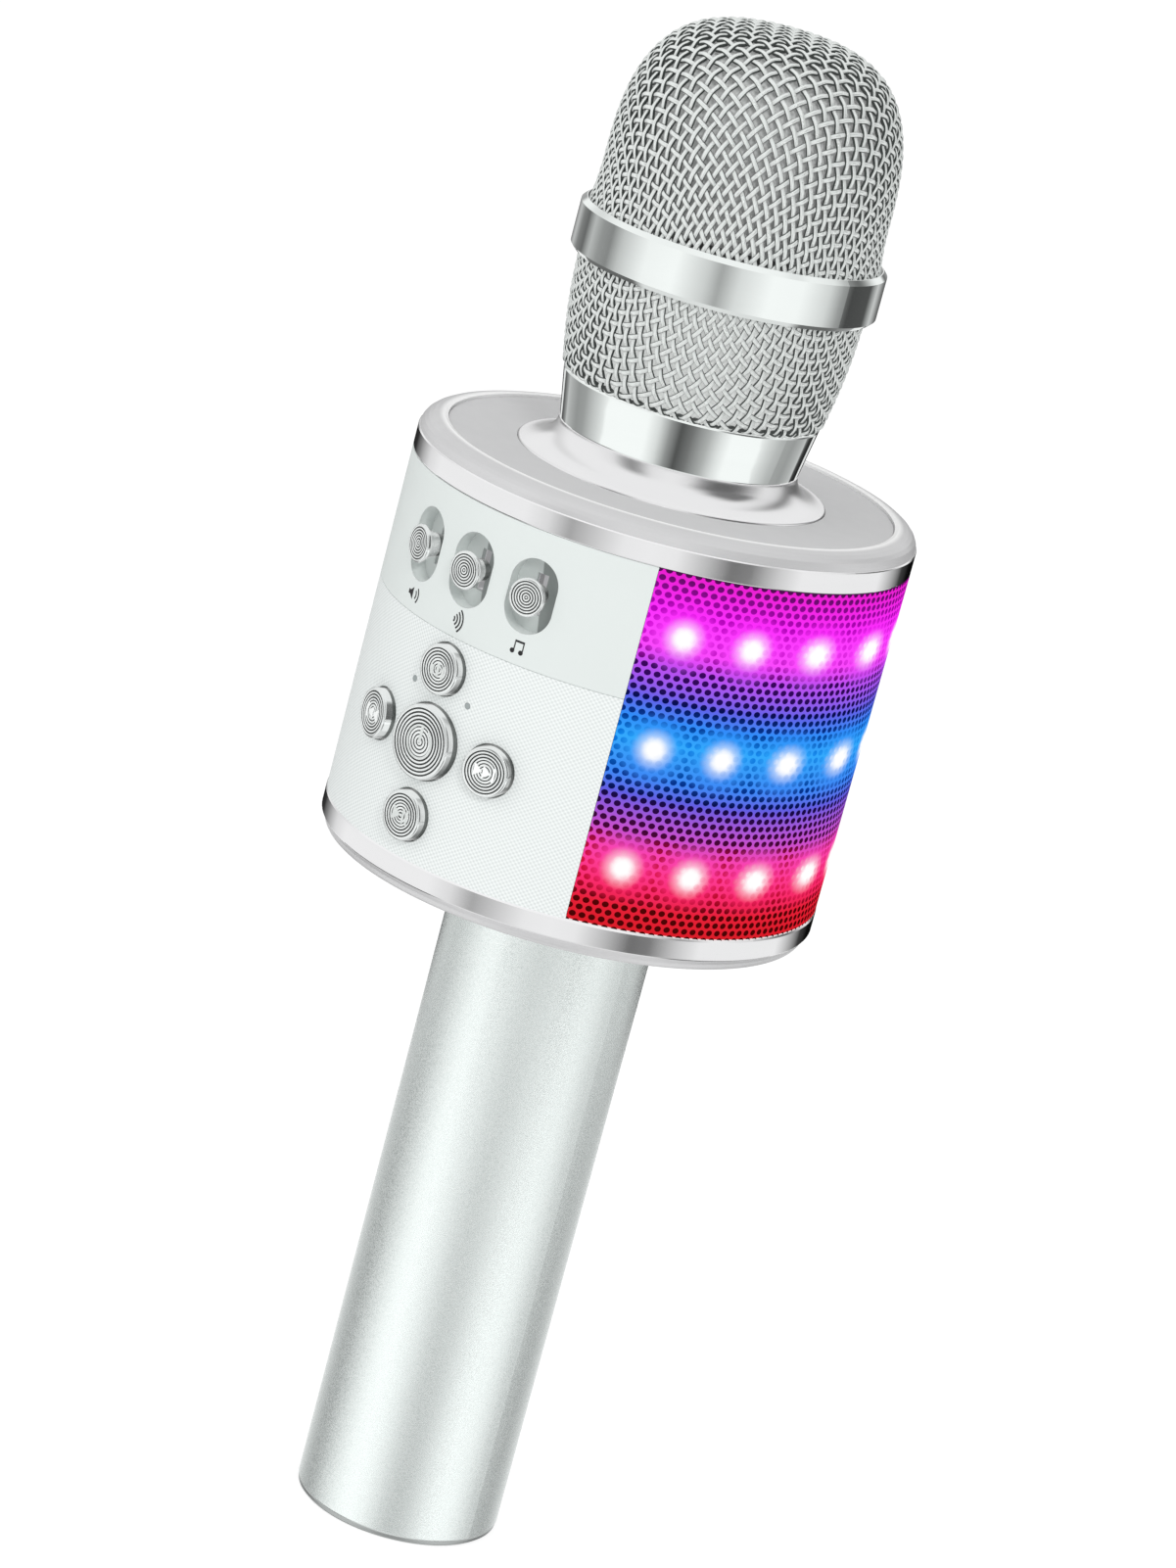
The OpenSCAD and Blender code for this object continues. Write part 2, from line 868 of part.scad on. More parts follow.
wiring_loom();
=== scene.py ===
import json
import math

import bmesh
import bpy
import numpy as np
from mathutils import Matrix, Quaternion, Vector

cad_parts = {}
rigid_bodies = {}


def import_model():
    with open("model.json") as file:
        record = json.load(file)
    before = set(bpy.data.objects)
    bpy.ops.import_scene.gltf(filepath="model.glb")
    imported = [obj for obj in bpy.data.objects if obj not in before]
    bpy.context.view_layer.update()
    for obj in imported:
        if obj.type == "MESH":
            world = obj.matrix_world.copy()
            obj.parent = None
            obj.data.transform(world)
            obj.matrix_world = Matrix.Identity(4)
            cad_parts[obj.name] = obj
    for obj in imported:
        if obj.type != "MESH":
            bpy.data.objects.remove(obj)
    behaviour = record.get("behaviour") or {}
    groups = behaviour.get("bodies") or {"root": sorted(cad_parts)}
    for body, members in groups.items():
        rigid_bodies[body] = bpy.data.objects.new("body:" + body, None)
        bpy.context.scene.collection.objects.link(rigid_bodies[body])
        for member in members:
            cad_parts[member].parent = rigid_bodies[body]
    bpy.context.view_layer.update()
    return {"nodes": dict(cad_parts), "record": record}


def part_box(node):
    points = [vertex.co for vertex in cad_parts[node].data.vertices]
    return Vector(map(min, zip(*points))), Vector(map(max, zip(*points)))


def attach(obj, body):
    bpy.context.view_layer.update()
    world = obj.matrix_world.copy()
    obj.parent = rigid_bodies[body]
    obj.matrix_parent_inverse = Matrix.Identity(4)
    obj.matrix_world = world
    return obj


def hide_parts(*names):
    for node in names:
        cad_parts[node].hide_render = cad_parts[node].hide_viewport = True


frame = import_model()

# Lengths below are in millimetres, in the frame's own axes, and become metres when they meet MM.
MM = 0.001


def box_mm(node):
    """Lowest and highest corners of a CAD node, in millimetres."""
    low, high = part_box(node)
    return low / MM, high / MM


# ---- sizes, from the frame ----

DRUM_R = box_mm("upper_trim_ring")[1].x
WALL_LOW = box_mm("speaker_grille")[0].z
WALL_TOP = box_mm("speaker_grille")[1].z
ROW_Z = [sum(box_mm(f"lights_{row}")[i].z for i in (0, 1)) / 2 for row in ("upper", "middle", "lower")]
BUTTON_FACE = -box_mm("power_button")[0].y
KNOB_FACE = -box_mm("echo_knob")[0].y
TOTAL_H = box_mm("dome_mesh")[1].z
HEM_Z = box_mm("dome_mesh")[0].z
BASKET_LOW = box_mm("lower_basket")[0].z
BASKET_TOP = box_mm("lower_basket")[1].z
COLLAR_TOP = box_mm("neck_collar")[1].z
BAND_TOP = box_mm("head_band")[1].z
SLOT_Z = (box_mm("echo_knob")[0].z + box_mm("echo_knob")[1].z) / 2

# Radii of the bezel's crest, where a highlight is painted, and the bottom cover's lip
BEZEL_CREST_R = 37.3
LIP_R = 40.3

# Azimuth of the side buttons, and the angle from one slider to the next, in degrees
SIDE_AZ = 17.5
SLIDER_PITCH = 16.6

# Azimuths in degrees, 0 at the front and growing towards +X, where the grille starts and ends
GRILLE_START = math.degrees(math.asin(box_mm("button_panel")[1].x / DRUM_R)) + 0.1
GRILLE_END = 360 - math.degrees(math.asin(-box_mm("button_panel")[0].x / DRUM_R)) - 0.1

# Azimuths of the lights in a row. The four at one end mirror the four at the other, and the rest
# are spaced evenly. Each light's glow, painted on the grille, is spread sideways by its factor in
# LED_SPREAD.
LED_COUNT = 15
LED_MARGIN = 9.1
LED_ENDS = (0, 15.95, 33.7, 54.2)
LED_END_SPREAD = (1.0, 1.05, 1.25, 1.55)
LED_MIDDLE_SPREAD = 1.2
LED_START = [GRILLE_START + LED_MARGIN + a for a in LED_ENDS]
LED_FINISH = [GRILLE_END - LED_MARGIN - a for a in LED_ENDS]
LED_MIDDLE = np.linspace(LED_START[-1], LED_FINISH[-1], LED_COUNT - 6)[1:-1].tolist()
LED_AZ = LED_START + LED_MIDDLE + LED_FINISH
LED_SPREAD = LED_END_SPREAD + (LED_MIDDLE_SPREAD,) * len(LED_MIDDLE) + LED_END_SPREAD

# Outline of the wire dome
DOME_R = 23.16
DOME_H = 25.85
DOME_Z = TOTAL_H - DOME_H
DOME_FLARE = 0.73
DOME_SIDE_POWER = 3.16
DOME_TOP_POWER = 2.68
MESH_T = 1.3

# Where the camera stands
CAMERA_AZ = 39.5
CAMERA_EL = 16.27
CAMERA_DISTANCE = 873.3
CAMERA_TARGET_Z = 130.0
CAMERA_ROLL = 15.0
CAMERA_LENS = 123.67


def linear(value):
    """One sRGB channel, 0 to 255, as linear light."""
    c = value / 255
    return c / 12.92 if c <= 0.04045 else ((c + 0.055) / 1.055) ** 2.4


def rgb(r, g, b):
    return (linear(r), linear(g), linear(b), 1.0)


def grey(level):
    return rgb(level, level, level)


def scaled(colour, factor):
    """A colour made darker by a factor under 1."""
    return tuple(c * factor for c in colour[:3]) + (1,)


# ---- materials ----


class Graph:
    """A material's node tree, with short ways to add nodes."""

    def __init__(self, name):
        self.material = bpy.data.materials.new(name)
        self.material.use_nodes = True
        self.tree = self.material.node_tree
        self.shader = self.tree.nodes["Principled BSDF"]

    def add(self, kind, **settings):
        node = self.tree.nodes.new(kind)
        for key, value in settings.items():
            setattr(node, key, value)
        return node

    def plug(self, source, socket):
        if hasattr(source, "is_output") or hasattr(source, "links"):
            self.tree.links.new(source, socket)
        else:
            socket.default_value = source

    def calc(self, operation, *values, clamp=False):
        node = self.add("ShaderNodeMath", operation=operation, use_clamp=clamp)
        for socket, value in zip(node.inputs, values):
            self.plug(value, socket)
        return node.outputs[0]

    def fade(self, value, start, end, low=1.0, high=0.0):
        """low before start, high after end, and a smooth turn between them."""
        node = self.add("ShaderNodeMapRange", interpolation_type="SMOOTHSTEP")
        for socket, v in zip(node.inputs, (value, start, end, low, high)):
            self.plug(v, socket)
        return node.outputs[0]

    def mix(self, share, a, b):
        node = self.add("ShaderNodeMix", data_type="RGBA")
        self.plug(share, node.inputs["Factor"])
        self.plug(a, node.inputs[6])
        self.plug(b, node.inputs[7])
        return node.outputs[2]

    def ramp(self, value, stops, interpolation="LINEAR"):
        node = self.add("ShaderNodeValToRGB")
        node.color_ramp.interpolation = interpolation
        elements = node.color_ramp.elements
        while len(elements) < len(stops):
            elements.new(0.5)
        for element, (position, colour) in zip(elements, stops):
            element.position = position
            element.color = colour
        self.plug(value, node.inputs[0])
        return node.outputs[0]

    def place(self):
        """Object coordinates, which are the frame's, in metres."""
        return self.add("ShaderNodeTexCoord").outputs["Object"]

    def split(self, vector):
        node = self.add("ShaderNodeSeparateXYZ")
        self.plug(vector, node.inputs[0])
        return node.outputs

    def noise(self, vector, scale, detail=2.0, roughness=0.5):
        node = self.add("ShaderNodeTexNoise")
        self.plug(vector, node.inputs["Vector"])
        node.inputs["Scale"].default_value = scale
        node.inputs["Detail"].default_value = detail
        node.inputs["Roughness"].default_value = roughness
        return node.outputs["Fac"]

    def cells(self, vector, scale, feature="F1", output="Distance"):
        node = self.add("ShaderNodeTexVoronoi", feature=feature)
        self.plug(vector, node.inputs["Vector"])
        node.inputs["Scale"].default_value = scale
        return node.outputs[output]

    def bump(self, height, depth_mm, strength=1.0):
        node = self.add("ShaderNodeBump")
        node.inputs["Strength"].default_value = strength
        node.inputs["Distance"].default_value = depth_mm * MM
        self.plug(height, node.inputs["Height"])
        self.tree.links.new(node.outputs[0], self.shader.inputs["Normal"])

    def set(self, **values):
        for key, value in values.items():
            self.plug(value, self.shader.inputs[key.replace("_", " ")])
        return self

    def around(self):
        """Azimuth in degrees, 0 at the front and growing towards +X, and height in millimetres."""
        x, y, z = self.split(self.place())
        angle = self.calc("ARCTAN2", x, self.calc("MULTIPLY", y, -1.0))
        return self.calc("MULTIPLY", angle, 180 / math.pi), self.calc("MULTIPLY", z, 1 / MM)

    def from_axis(self):
        """Distance from the object's axis, in millimetres."""
        x, y = self.split(self.place())[:2]
        squares = self.calc("ADD", self.calc("POWER", x, 2.0), self.calc("POWER", y, 2.0))
        return self.calc("MULTIPLY", self.calc("SQRT", squares), 1 / MM)

    def uneven_polish(self, low, high):
        """Roughness that drifts between low and high over a few millimetres."""
        self.set(Roughness=self.fade(self.noise(self.place(), 260), 0.3, 0.7, low, high))


def plastic(name, colour, roughness):
    """Moulded plastic: a faint mottling of its colour and a fine eggshell grain."""
    g = Graph(name)
    place = g.place()
    g.set(Base_Color=g.mix(g.noise(place, 90, 3.0), scaled(colour, 0.96), colour))
    g.uneven_polish(roughness * 0.92, roughness * 1.08)
    g.bump(g.noise(place, 4000, 2.0), 0.01)
    return g.material


def metal(name, colour, roughness, scratch=0.004, hair=(40, 40, 900), metallic=1.0):
    """Plated or plain metal with faint hairlines and uneven polish."""
    g = Graph(name)
    place = g.place()
    node = g.add("ShaderNodeMapping")
    g.plug(place, node.inputs["Vector"])
    node.inputs["Scale"].default_value = hair
    lines = g.noise(node.outputs[0], 1.0, 3.0)
    g.set(Base_Color=g.mix(lines, scaled(colour, 0.94), colour))
    g.set(Roughness=g.fade(lines, 0.3, 0.7, roughness * 0.8, roughness * 1.25))
    g.set(Metallic=metallic)
    g.bump(lines, scratch)
    return g.material


def pearl_paint(name):
    """Fine metallic flakes under a thin satin lacquer."""
    g = Graph(name)
    place = g.place()
    flakes = g.cells(place, 5200, output="Color")
    fleck = g.split(flakes)[0]
    cloud = g.noise(place, 3600, 3.0)
    shade = g.calc("ADD", g.calc("MULTIPLY", fleck, 0.5), g.calc("MULTIPLY", cloud, 0.5))
    tones = [(0.15, rgb(226, 233, 231)), (0.5, rgb(243, 250, 248)), (0.85, rgb(250, 255, 253))]
    g.set(Base_Color=g.ramp(shade, tones))
    g.set(Roughness=g.fade(fleck, 0.0, 1.0, 0.18, 0.3))
    g.set(Metallic=0.9)
    g.bump(shade, 0.012, 0.5)
    return g.material


# The slots of the sliders: how deep the panel's walls go, and the painted shadow on each slot's right side
SLOT_DEPTH = 4.0
SLOT_SHADE_AZ = 4.4
SLOT_SHADE_HALF = 3.8
SLOT_SHADE_LEAN = 0.25


def painted_slot_shadow(g, depth):
    """1 on the right side of each slot, where a shadow is painted on its floor, and 0 elsewhere."""
    azimuth, height = g.around()
    across = 99.0
    for middle in (-SLIDER_PITCH, 0, SLIDER_PITCH):
        gap = g.calc("ABSOLUTE", g.calc("SUBTRACT", azimuth, middle + SLOT_SHADE_AZ))
        across = g.calc("MINIMUM", across, gap)
    lean = g.calc("MULTIPLY", g.calc("SUBTRACT", height, SLOT_Z), SLOT_SHADE_LEAN)
    beside = g.calc("SUBTRACT", across, lean)
    shaded = g.fade(beside, SLOT_SHADE_HALF - 0.2, SLOT_SHADE_HALF + 0.2, 1.0, 0.0)
    return g.calc("MULTIPLY", shaded, g.fade(depth, 1.6, 2.4, 0.0, 1.0))


def slotted_panel(name):
    """Smooth white plastic, grey inside the slider slots and darkest on their floors as painted shade, with
    a faint painted glow in the slots.
    """
    g = Graph(name)
    depth = g.calc("SUBTRACT", DRUM_R, g.from_axis())
    share = g.calc("DIVIDE", depth, SLOT_DEPTH)
    # Painted shade: darker the deeper into a slot
    shade = g.ramp(share, [
        (0.02, rgb(216, 222, 220)), (0.06, rgb(214, 220, 218)),
        (0.55, rgb(206, 212, 210)), (0.68, rgb(190, 196, 194)),
    ])
    # Painted glow that lightens the slot walls and floors
    painted_slot_glow = (0.05, 0.054, 0.053, 1)
    g.set(Emission_Color=g.ramp(share, [(0.04, (0, 0, 0, 1)), (0.2, painted_slot_glow), (0.68, painted_slot_glow)]))
    g.set(Emission_Strength=1.0)
    # Painted shadow: the right side of each slot's floor is darkened
    shade = g.mix(painted_slot_shadow(g, depth), shade, rgb(116, 122, 120))
    mottle = g.calc("MULTIPLY", g.noise(g.place(), 90, 3.0), 0.05)
    g.set(Base_Color=g.mix(mottle, shade, rgb(150, 156, 154)))
    g.uneven_polish(0.42, 0.5)
    g.bump(g.noise(g.place(), 4000, 2.0), 0.01)
    return g.material


TWILL_PITCH = 0.56


def woven_panel(name):
    """White plastic moulded with a fine twill: short diagonal ribs crossed by finer ones."""
    g = Graph(name)
    azimuth, height = g.around()
    along = g.calc("MULTIPLY", azimuth, DRUM_R * math.pi / 180)
    turn = 2 * math.pi / TWILL_PITCH
    rib = g.calc("SINE", g.calc("MULTIPLY", g.calc("ADD", along, height), turn * 0.72))
    slant = g.calc("SUBTRACT", height, g.calc("MULTIPLY", along, 0.7))
    cross = g.calc("SINE", g.calc("MULTIPLY", slant, turn * 0.8))
    both = g.calc("ADD", g.calc("MULTIPLY", rib, 0.55), g.calc("MULTIPLY", cross, 0.45))
    level = g.calc("ADD", g.calc("MULTIPLY", both, 0.5), 0.5)
    tones = [(0.1, rgb(208, 213, 212)), (0.5, rgb(222, 227, 226)), (0.9, rgb(233, 237, 236))]
    g.set(Base_Color=g.ramp(level, tones))
    g.set(Roughness=g.fade(level, 0.2, 0.8, 0.55, 0.42))
    g.bump(level, 0.05, 0.6)
    return g.material


# Colours up the lit grille, as (height, sheet, holes). A scratch program sampled them on the
# photograph; they were then thinned out and rounded by hand.
GLOW = [
    (120, (216, 15, 30), (70, 0, 0)),
    (124, (230, 20, 50), (80, 0, 0)),
    (127, (248, 35, 105), (185, 5, 40)),
    (130, (252, 52, 142), (215, 10, 62)),
    (133, (248, 62, 175), (175, 8, 60)),
    (136, (200, 75, 203), (68, 0, 52)),
    (142, (95, 90, 225), (5, 5, 72)),
    (145, (58, 134, 245), (0, 50, 142)),
    (151, (45, 168, 252), (5, 124, 230)),
    (154.5, (42, 138, 248), (0, 50, 142)),
    (157.5, (92, 95, 232), (0, 10, 82)),
    (163, (188, 74, 240), (56, 0, 92)),
    (166, (250, 68, 252), (190, 15, 195)),
    (169, (252, 58, 254), (212, 14, 215)),
    (172, (250, 38, 250), (178, 0, 185)),
    (178, (232, 20, 205), (70, 10, 70)),
]


def glow_nodes(g, holes):
    """Colour of the glow painted on the grille by height, and the distance in millimetres from the closest
    light.
    """
    azimuth, height = g.around()
    tall = WALL_TOP - WALL_LOW
    share = g.calc("DIVIDE", g.calc("SUBTRACT", height, WALL_LOW), tall)
    sheet_tones = [((z - WALL_LOW) / tall, rgb(*sheet)) for z, sheet, hole in GLOW]
    hole_tones = [((z - WALL_LOW) / tall, rgb(*hole)) for z, sheet, hole in GLOW]
    turned = g.calc("FLOORED_MODULO", azimuth, 360.0)
    across = 99.0
    for light, spread in zip(LED_AZ, LED_SPREAD):
        gap = g.calc("ABSOLUTE", g.calc("SUBTRACT", turned, light))
        across = g.calc("MINIMUM", across, g.calc("MULTIPLY", gap, DRUM_R * math.pi / 180 / spread))
    gaps = [g.calc("ABSOLUTE", g.calc("SUBTRACT", height, z)) for z in ROW_Z]
    up = g.calc("MINIMUM", g.calc("MINIMUM", gaps[0], gaps[1]), gaps[2])
    near = g.calc("SQRT", g.calc("ADD", g.calc("POWER", across, 2.0), g.calc("POWER", up, 2.0)))
    colour = g.ramp(share, sheet_tones)
    if holes:
        colour = g.mix(g.fade(near, 2.8, 6.6, 0.9, 0.0), g.ramp(share, hole_tones), colour)
    return colour, near, height


def lit_surface(name, base, holes=False):
    """A surface with the glow of the rows of lights painted on, white close to each of them."""
    g = Graph(name)
    colour, near, height = glow_nodes(g, holes)
    white = (1, 1, 1, 1)
    halo = g.mix(g.fade(near, 0.9, 3.9, 0.62, 0.0), colour, white)
    core = g.mix(g.fade(near, 0.9, 2.3, 1.0, 0.0), halo, white)
    if not holes:
        # Painted light: a pale glow along the sheet's lower edge
        hem = g.fade(height, WALL_LOW + 0.2, WALL_LOW + 0.3, 1.0, 0.0)
        core = g.mix(hem, core, rgb(235, 225, 226))
    speckle = g.mix(g.noise(g.place(), 700), base, scaled(base, 0.6))
    g.set(Emission_Color=core, Base_Color=speckle)
    g.set(Emission_Strength=1.0, Roughness=0.6, Specular_IOR_Level=0.0)
    return g.material


def trim(name):
    """White trim, with a painted highlight on the bezel's inner crest."""
    g = Graph(name)
    outer = g.fade(g.from_axis(), BEZEL_CREST_R, BEZEL_CREST_R + 1.1, 0.0, 1.0)
    mottle = g.mix(g.noise(g.place(), 120, 3.0), rgb(200, 200, 201), rgb(206, 206, 207))
    # Painted highlight: near white on the crest and inward of it
    g.set(Base_Color=g.mix(outer, grey(250), mottle))
    g.uneven_polish(0.28, 0.34)
    g.set(Metallic=0.25)
    g.bump(g.noise(g.place(), 4000, 2.0), 0.002)
    return g.material


def turned_metal(name, tones, metallic):
    """Bright plated plastic of the buttons, with faint turning marks."""
    g = Graph(name)
    fine = g.noise(g.place(), 1600, 2.0)
    g.set(Base_Color=g.ramp(fine, [(0.2, tones[0]), (0.8, tones[1])]))
    g.set(Roughness=g.fade(fine, 0.3, 0.7, 0.18, 0.28))
    g.set(Metallic=metallic)
    g.bump(fine, 0.004)
    return g.material


def foam(name, colour, glow=0.0):
    """Open foam. glow is painted light that brightens it."""
    g = Graph(name)
    g.set(Emission_Color=colour, Emission_Strength=glow)
    place = g.place()
    pores = g.cells(place, 1400)
    g.set(Base_Color=g.ramp(pores, [(0.05, scaled(colour, 0.55)), (0.6, colour)]))
    g.set(Roughness=0.95)
    g.bump(pores, 0.25, 0.8)
    return g.material


def circuit_board(name):
    """Green solder mask with fine copper tracks under it."""
    g = Graph(name)
    place = g.place()
    tracks = g.cells(place, 500, "DISTANCE_TO_EDGE")
    g.set(Base_Color=g.ramp(tracks, [(0.03, (0.12, 0.3, 0.1, 1)), (0.07, (0.01, 0.09, 0.04, 1))]))
    g.set(Roughness=g.fade(g.noise(place, 400), 0.3, 0.7, 0.3, 0.45))
    g.bump(tracks, 0.03)
    return g.material


MATERIALS = {
    "handle_silver": pearl_paint("pearl_silver"),
    "dark_silver": metal("dark_silver", rgb(186, 190, 189), 0.3),
    "dark_plastic": plastic("dark_plastic", rgb(40, 40, 42), 0.5),
    "cell_wrap": plastic("cell_wrap", rgb(30, 120, 75), 0.3),
    "steel": metal("plain_steel", rgb(190, 190, 192), 0.3),
    "bezel_white": trim("bezel_white"),
    "chrome": metal("bright_chrome", rgb(253, 253, 254), 0.035, 0.001, (30, 30, 300)),
    "chassis_plastic": plastic("chassis_plastic", rgb(84, 84, 86), 0.6),
    "panel_white": slotted_panel("panel_white"),
    "panel_weave": woven_panel("panel_weave"),
    "grille_paint": lit_surface("lit_grille", (0.008, 0.008, 0.008, 1)),
    "diffuser": lit_surface("lit_diffuser", (0.003, 0.003, 0.003, 1), holes=True),
    "strip_board": plastic("strip_board", rgb(228, 226, 220), 0.5),
    "light_package": plastic("light_resin", rgb(250, 246, 220), 0.2),
    "plate_grey": plastic("plate_grey", rgb(206, 206, 207), 0.5),
    "skirt_white": metal("skirt_white", rgb(244, 244, 245), 0.2, 0.0002, (60, 60, 60), 0.9),
    "wire": metal("bright_wire", rgb(230, 234, 232), 0.3, 0.002, (500, 500, 500), 0.4),
    "foam_dark": foam("foam_dark", rgb(228, 230, 229), 0.09),
    "foam_light": foam("foam_light", rgb(240, 243, 241), 0.5),
    "rubber": plastic("soft_rubber", rgb(30, 30, 30), 0.8),
    "capsule_brass": metal("capsule_brass", rgb(205, 170, 100), 0.3),
    "circuit_board": circuit_board("circuit_board"),
    "button_silver": turned_metal("turned_silver", (rgb(226, 230, 229), rgb(244, 247, 246)), 0.35),
    "magnet": metal("sintered_magnet", rgb(90, 90, 94), 0.5),
    "speaker_paper": foam("speaker_paper", rgb(38, 38, 40)),
    "light_pipe": plastic("light_pipe", rgb(150, 158, 158), 0.2),
    "wire_sleeve": plastic("wire_sleeve", rgb(160, 30, 30), 0.4),
}
INK = plastic("printed_ink", rgb(22, 22, 24), 0.5)
# Painted shade in the grooves of the caps, and on a cap's side and a knob's stem below its face
GROOVE_SHADE = plastic("groove_shadow", rgb(40, 44, 43), 0.5)
RIM_SHADE = turned_metal("rim_shade", (rgb(104, 109, 107), rgb(126, 131, 129)), 0.5)
RIM = metal("rim_chrome", rgb(240, 244, 243), 0.14, 0.001, (300, 300, 300), 0.9)
ICON = turned_metal("icon_silver", (rgb(240, 243, 242), rgb(252, 254, 253)), 0.2)
SOFT_ICON = turned_metal("soft_icon_silver", (rgb(206, 211, 209), rgb(224, 228, 226)), 0.3)
# Painted shade on the sides of the wire strands
WIRE_SIDE_SHADE = metal("wire_side_shade", rgb(60, 66, 64), 0.4, 0.002, (500, 500, 500), 0.3)
COOL_CHROME = metal("cool_chrome", rgb(250, 255, 253), 0.035, 0.001, (30, 30, 300))


def dress_cad_nodes():
    """Gives every CAD node the material of its slot."""
    for part in frame["record"]["subparts"]:
        node = frame["nodes"][part["node"]]
        for slot in node.material_slots:
            slot.material = MATERIALS[part["material_slot"]]
    for name in ("neck_collar", "head_band"):
        frame["nodes"][name].material_slots[0].material = COOL_CHROME


# ---- mesh helpers ----


def make_piece(name, points, faces, slot, **settings):
    """A mesh piece from points in millimetres. faces is a list of vertex lists."""
    mesh = bpy.data.meshes.new(name)
    mesh.from_pydata((np.asarray(points, float) * MM).tolist(), [], [list(map(int, f)) for f in faces])
    return place_mesh(name, mesh, slot, **settings)


def place_mesh(name, mesh, slot, body="body", replaces=(), materials=None, face_material=None, sharp=35):
    """Turns a mesh into a piece that rides on a body. Edges over sharp degrees stay sharp."""
    for material in materials or [MATERIALS[slot]]:
        mesh.materials.append(material)
    if face_material is not None:
        mesh.polygons.foreach_set("material_index", np.asarray(face_material, np.int32))
    mesh.polygons.foreach_set("use_smooth", np.ones(len(mesh.polygons), bool))
    mesh.set_sharp_from_angle(angle=math.radians(sharp))
    mesh.update()
    piece = bpy.data.objects.new(name, mesh)
    bpy.context.scene.collection.objects.link(piece)
    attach(piece, body)
    if replaces:
        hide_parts(*replaces)
    return piece


def lathe(profile, segments, closed=False):
    """Points and faces of (radius, height) pairs turned round Z. Radius 0 makes a pole."""
    profile = np.asarray(profile, float)
    turn = np.linspace(0, 2 * math.pi, segments, endpoint=False)
    points, rings = [], []
    for radius, height in profile:
        start = len(points)
        if radius < 1e-6:
            points.append((0, 0, height))
            rings.append([start] * segments)
        else:
            points.extend(zip(radius * np.cos(turn), radius * np.sin(turn), [height] * segments))
            rings.append(list(range(start, start + segments)))
    faces = []
    pairs = list(zip(rings, rings[1:])) + ([(rings[-1], rings[0])] if closed else [])
    for low, high in pairs:
        for j in range(segments):
            k = (j + 1) % segments
            face = list(dict.fromkeys((low[j], low[k], high[k], high[j])))
            if len(face) > 2:
                faces.append(face)
    return np.array(points), faces


def merge(parts):
    """Joins (points, faces) pairs into one."""
    points, faces, start = [], [], 0
    for part_points, part_faces in parts:
        points.append(part_points)
        faces.extend([[i + start for i in face] for face in part_faces])
        start += len(part_points)
    return np.concatenate(points), faces


def to_front(points, azimuth, height):
    """Local (right, up, out) points, set on the radial line at an azimuth and height."""
    points = np.asarray(points, float)
    a = math.radians(azimuth)
    right, up, out = points[:, 0], points[:, 1], points[:, 2]
    x = right * math.cos(a) + out * math.sin(a)
    y = right * math.sin(a) - out * math.cos(a)
    return np.stack([x, y, up + height], 1)


def wrap_on_drum(points, azimuth, height):
    """Flat (along, up, out) points wrapped round the drum, out being a radius."""
    points = np.asarray(points, float)
    a = np.radians(azimuth) + points[:, 0] / DRUM_R
    return np.stack([points[:, 2] * np.sin(a), -points[:, 2] * np.cos(a), points[:, 1] + height], 1)


def plate(outline, low, high):
    """A flat outline made into a plate from low to high."""
    n = len(outline)
    points = [(x, y, low) for x, y in outline] + [(x, y, high) for x, y in outline]
    faces = [list(range(n))[::-1], list(range(n, 2 * n))]
    faces += [[i, (i + 1) % n, n + (i + 1) % n, n + i] for i in range(n)]
    return np.array(points, float), faces


def arc_band(radius, width, start, end, steps, centre=(0, 0)):
    """Outline of a curved stroke; angles in degrees, 0 to the right and 90 up."""
    angles = np.radians(np.linspace(start, end, steps))

    def arc(r):
        return [(centre[0] + r * math.cos(a), centre[1] + r * math.sin(a)) for a in angles]

    return arc(radius + width / 2) + arc(radius - width / 2)[::-1]


def rectangle(x, y, width, height):
    return [(x - width / 2, y - height / 2), (x + width / 2, y - height / 2),
            (x + width / 2, y + height / 2), (x - width / 2, y + height / 2)]


# ---- woven wire ----

WIRE_PITCH = 2.15
BASKET_PITCH = 1.9
WIRE_R = 0.4
WIRE_LIFT = 0.25
WIRE_SIDES = 10
WIRE_STEPS = 6
# The weave lies at 45 degrees to the camera's direction
WEAVE_TURN = CAMERA_AZ - 90 + 45
# How far the foam lies behind the wire
LINER_GAP = 0.5


def dome_meridian(inset):
    """Radius and height of the dome from its top to its hem, inset from the outside."""
    a = np.radians(np.linspace(90, 0, 4000))
    top_r = (DOME_R - inset) * np.cos(a) ** (2 / DOME_SIDE_POWER)
    top_z = DOME_Z + (DOME_H - inset) * np.sin(a) ** (2 / DOME_TOP_POWER)
    t = np.linspace(1, 0, 200)[1:]
    low_z = HEM_Z + 2.5
    side_r = DOME_R - inset + DOME_FLARE * (1 - np.sin(np.pi / 2 * t))
    side_z = low_z + (DOME_Z - low_z) * t
    r = np.concatenate([top_r, side_r, [side_r[-1]]])
    z = np.concatenate([top_z, side_z, [HEM_Z]])
    return r, z


def basket_meridian(inset):
    """Radius and height of the lower basket from inside the collar up to the band."""
    low_r, high_r, swell = 21.5, 23.36, 0.54
    t = np.linspace(0, 1, 200)
    low_z = COLLAR_TOP + 0.85
    r = low_r + (high_r - low_r) * t + swell * np.sin(np.pi * t)
    z = low_z + (BASKET_TOP - low_z) * t
    tuck_r = [19.95, 20.15, 20.55, 21.05]
    tuck_z = [BASKET_LOW + 2.5, COLLAR_TOP - 0.1, COLLAR_TOP + 0.2, COLLAR_TOP + 0.5]
    return np.concatenate([tuck_r, r]) - inset, np.concatenate([tuck_z, z])


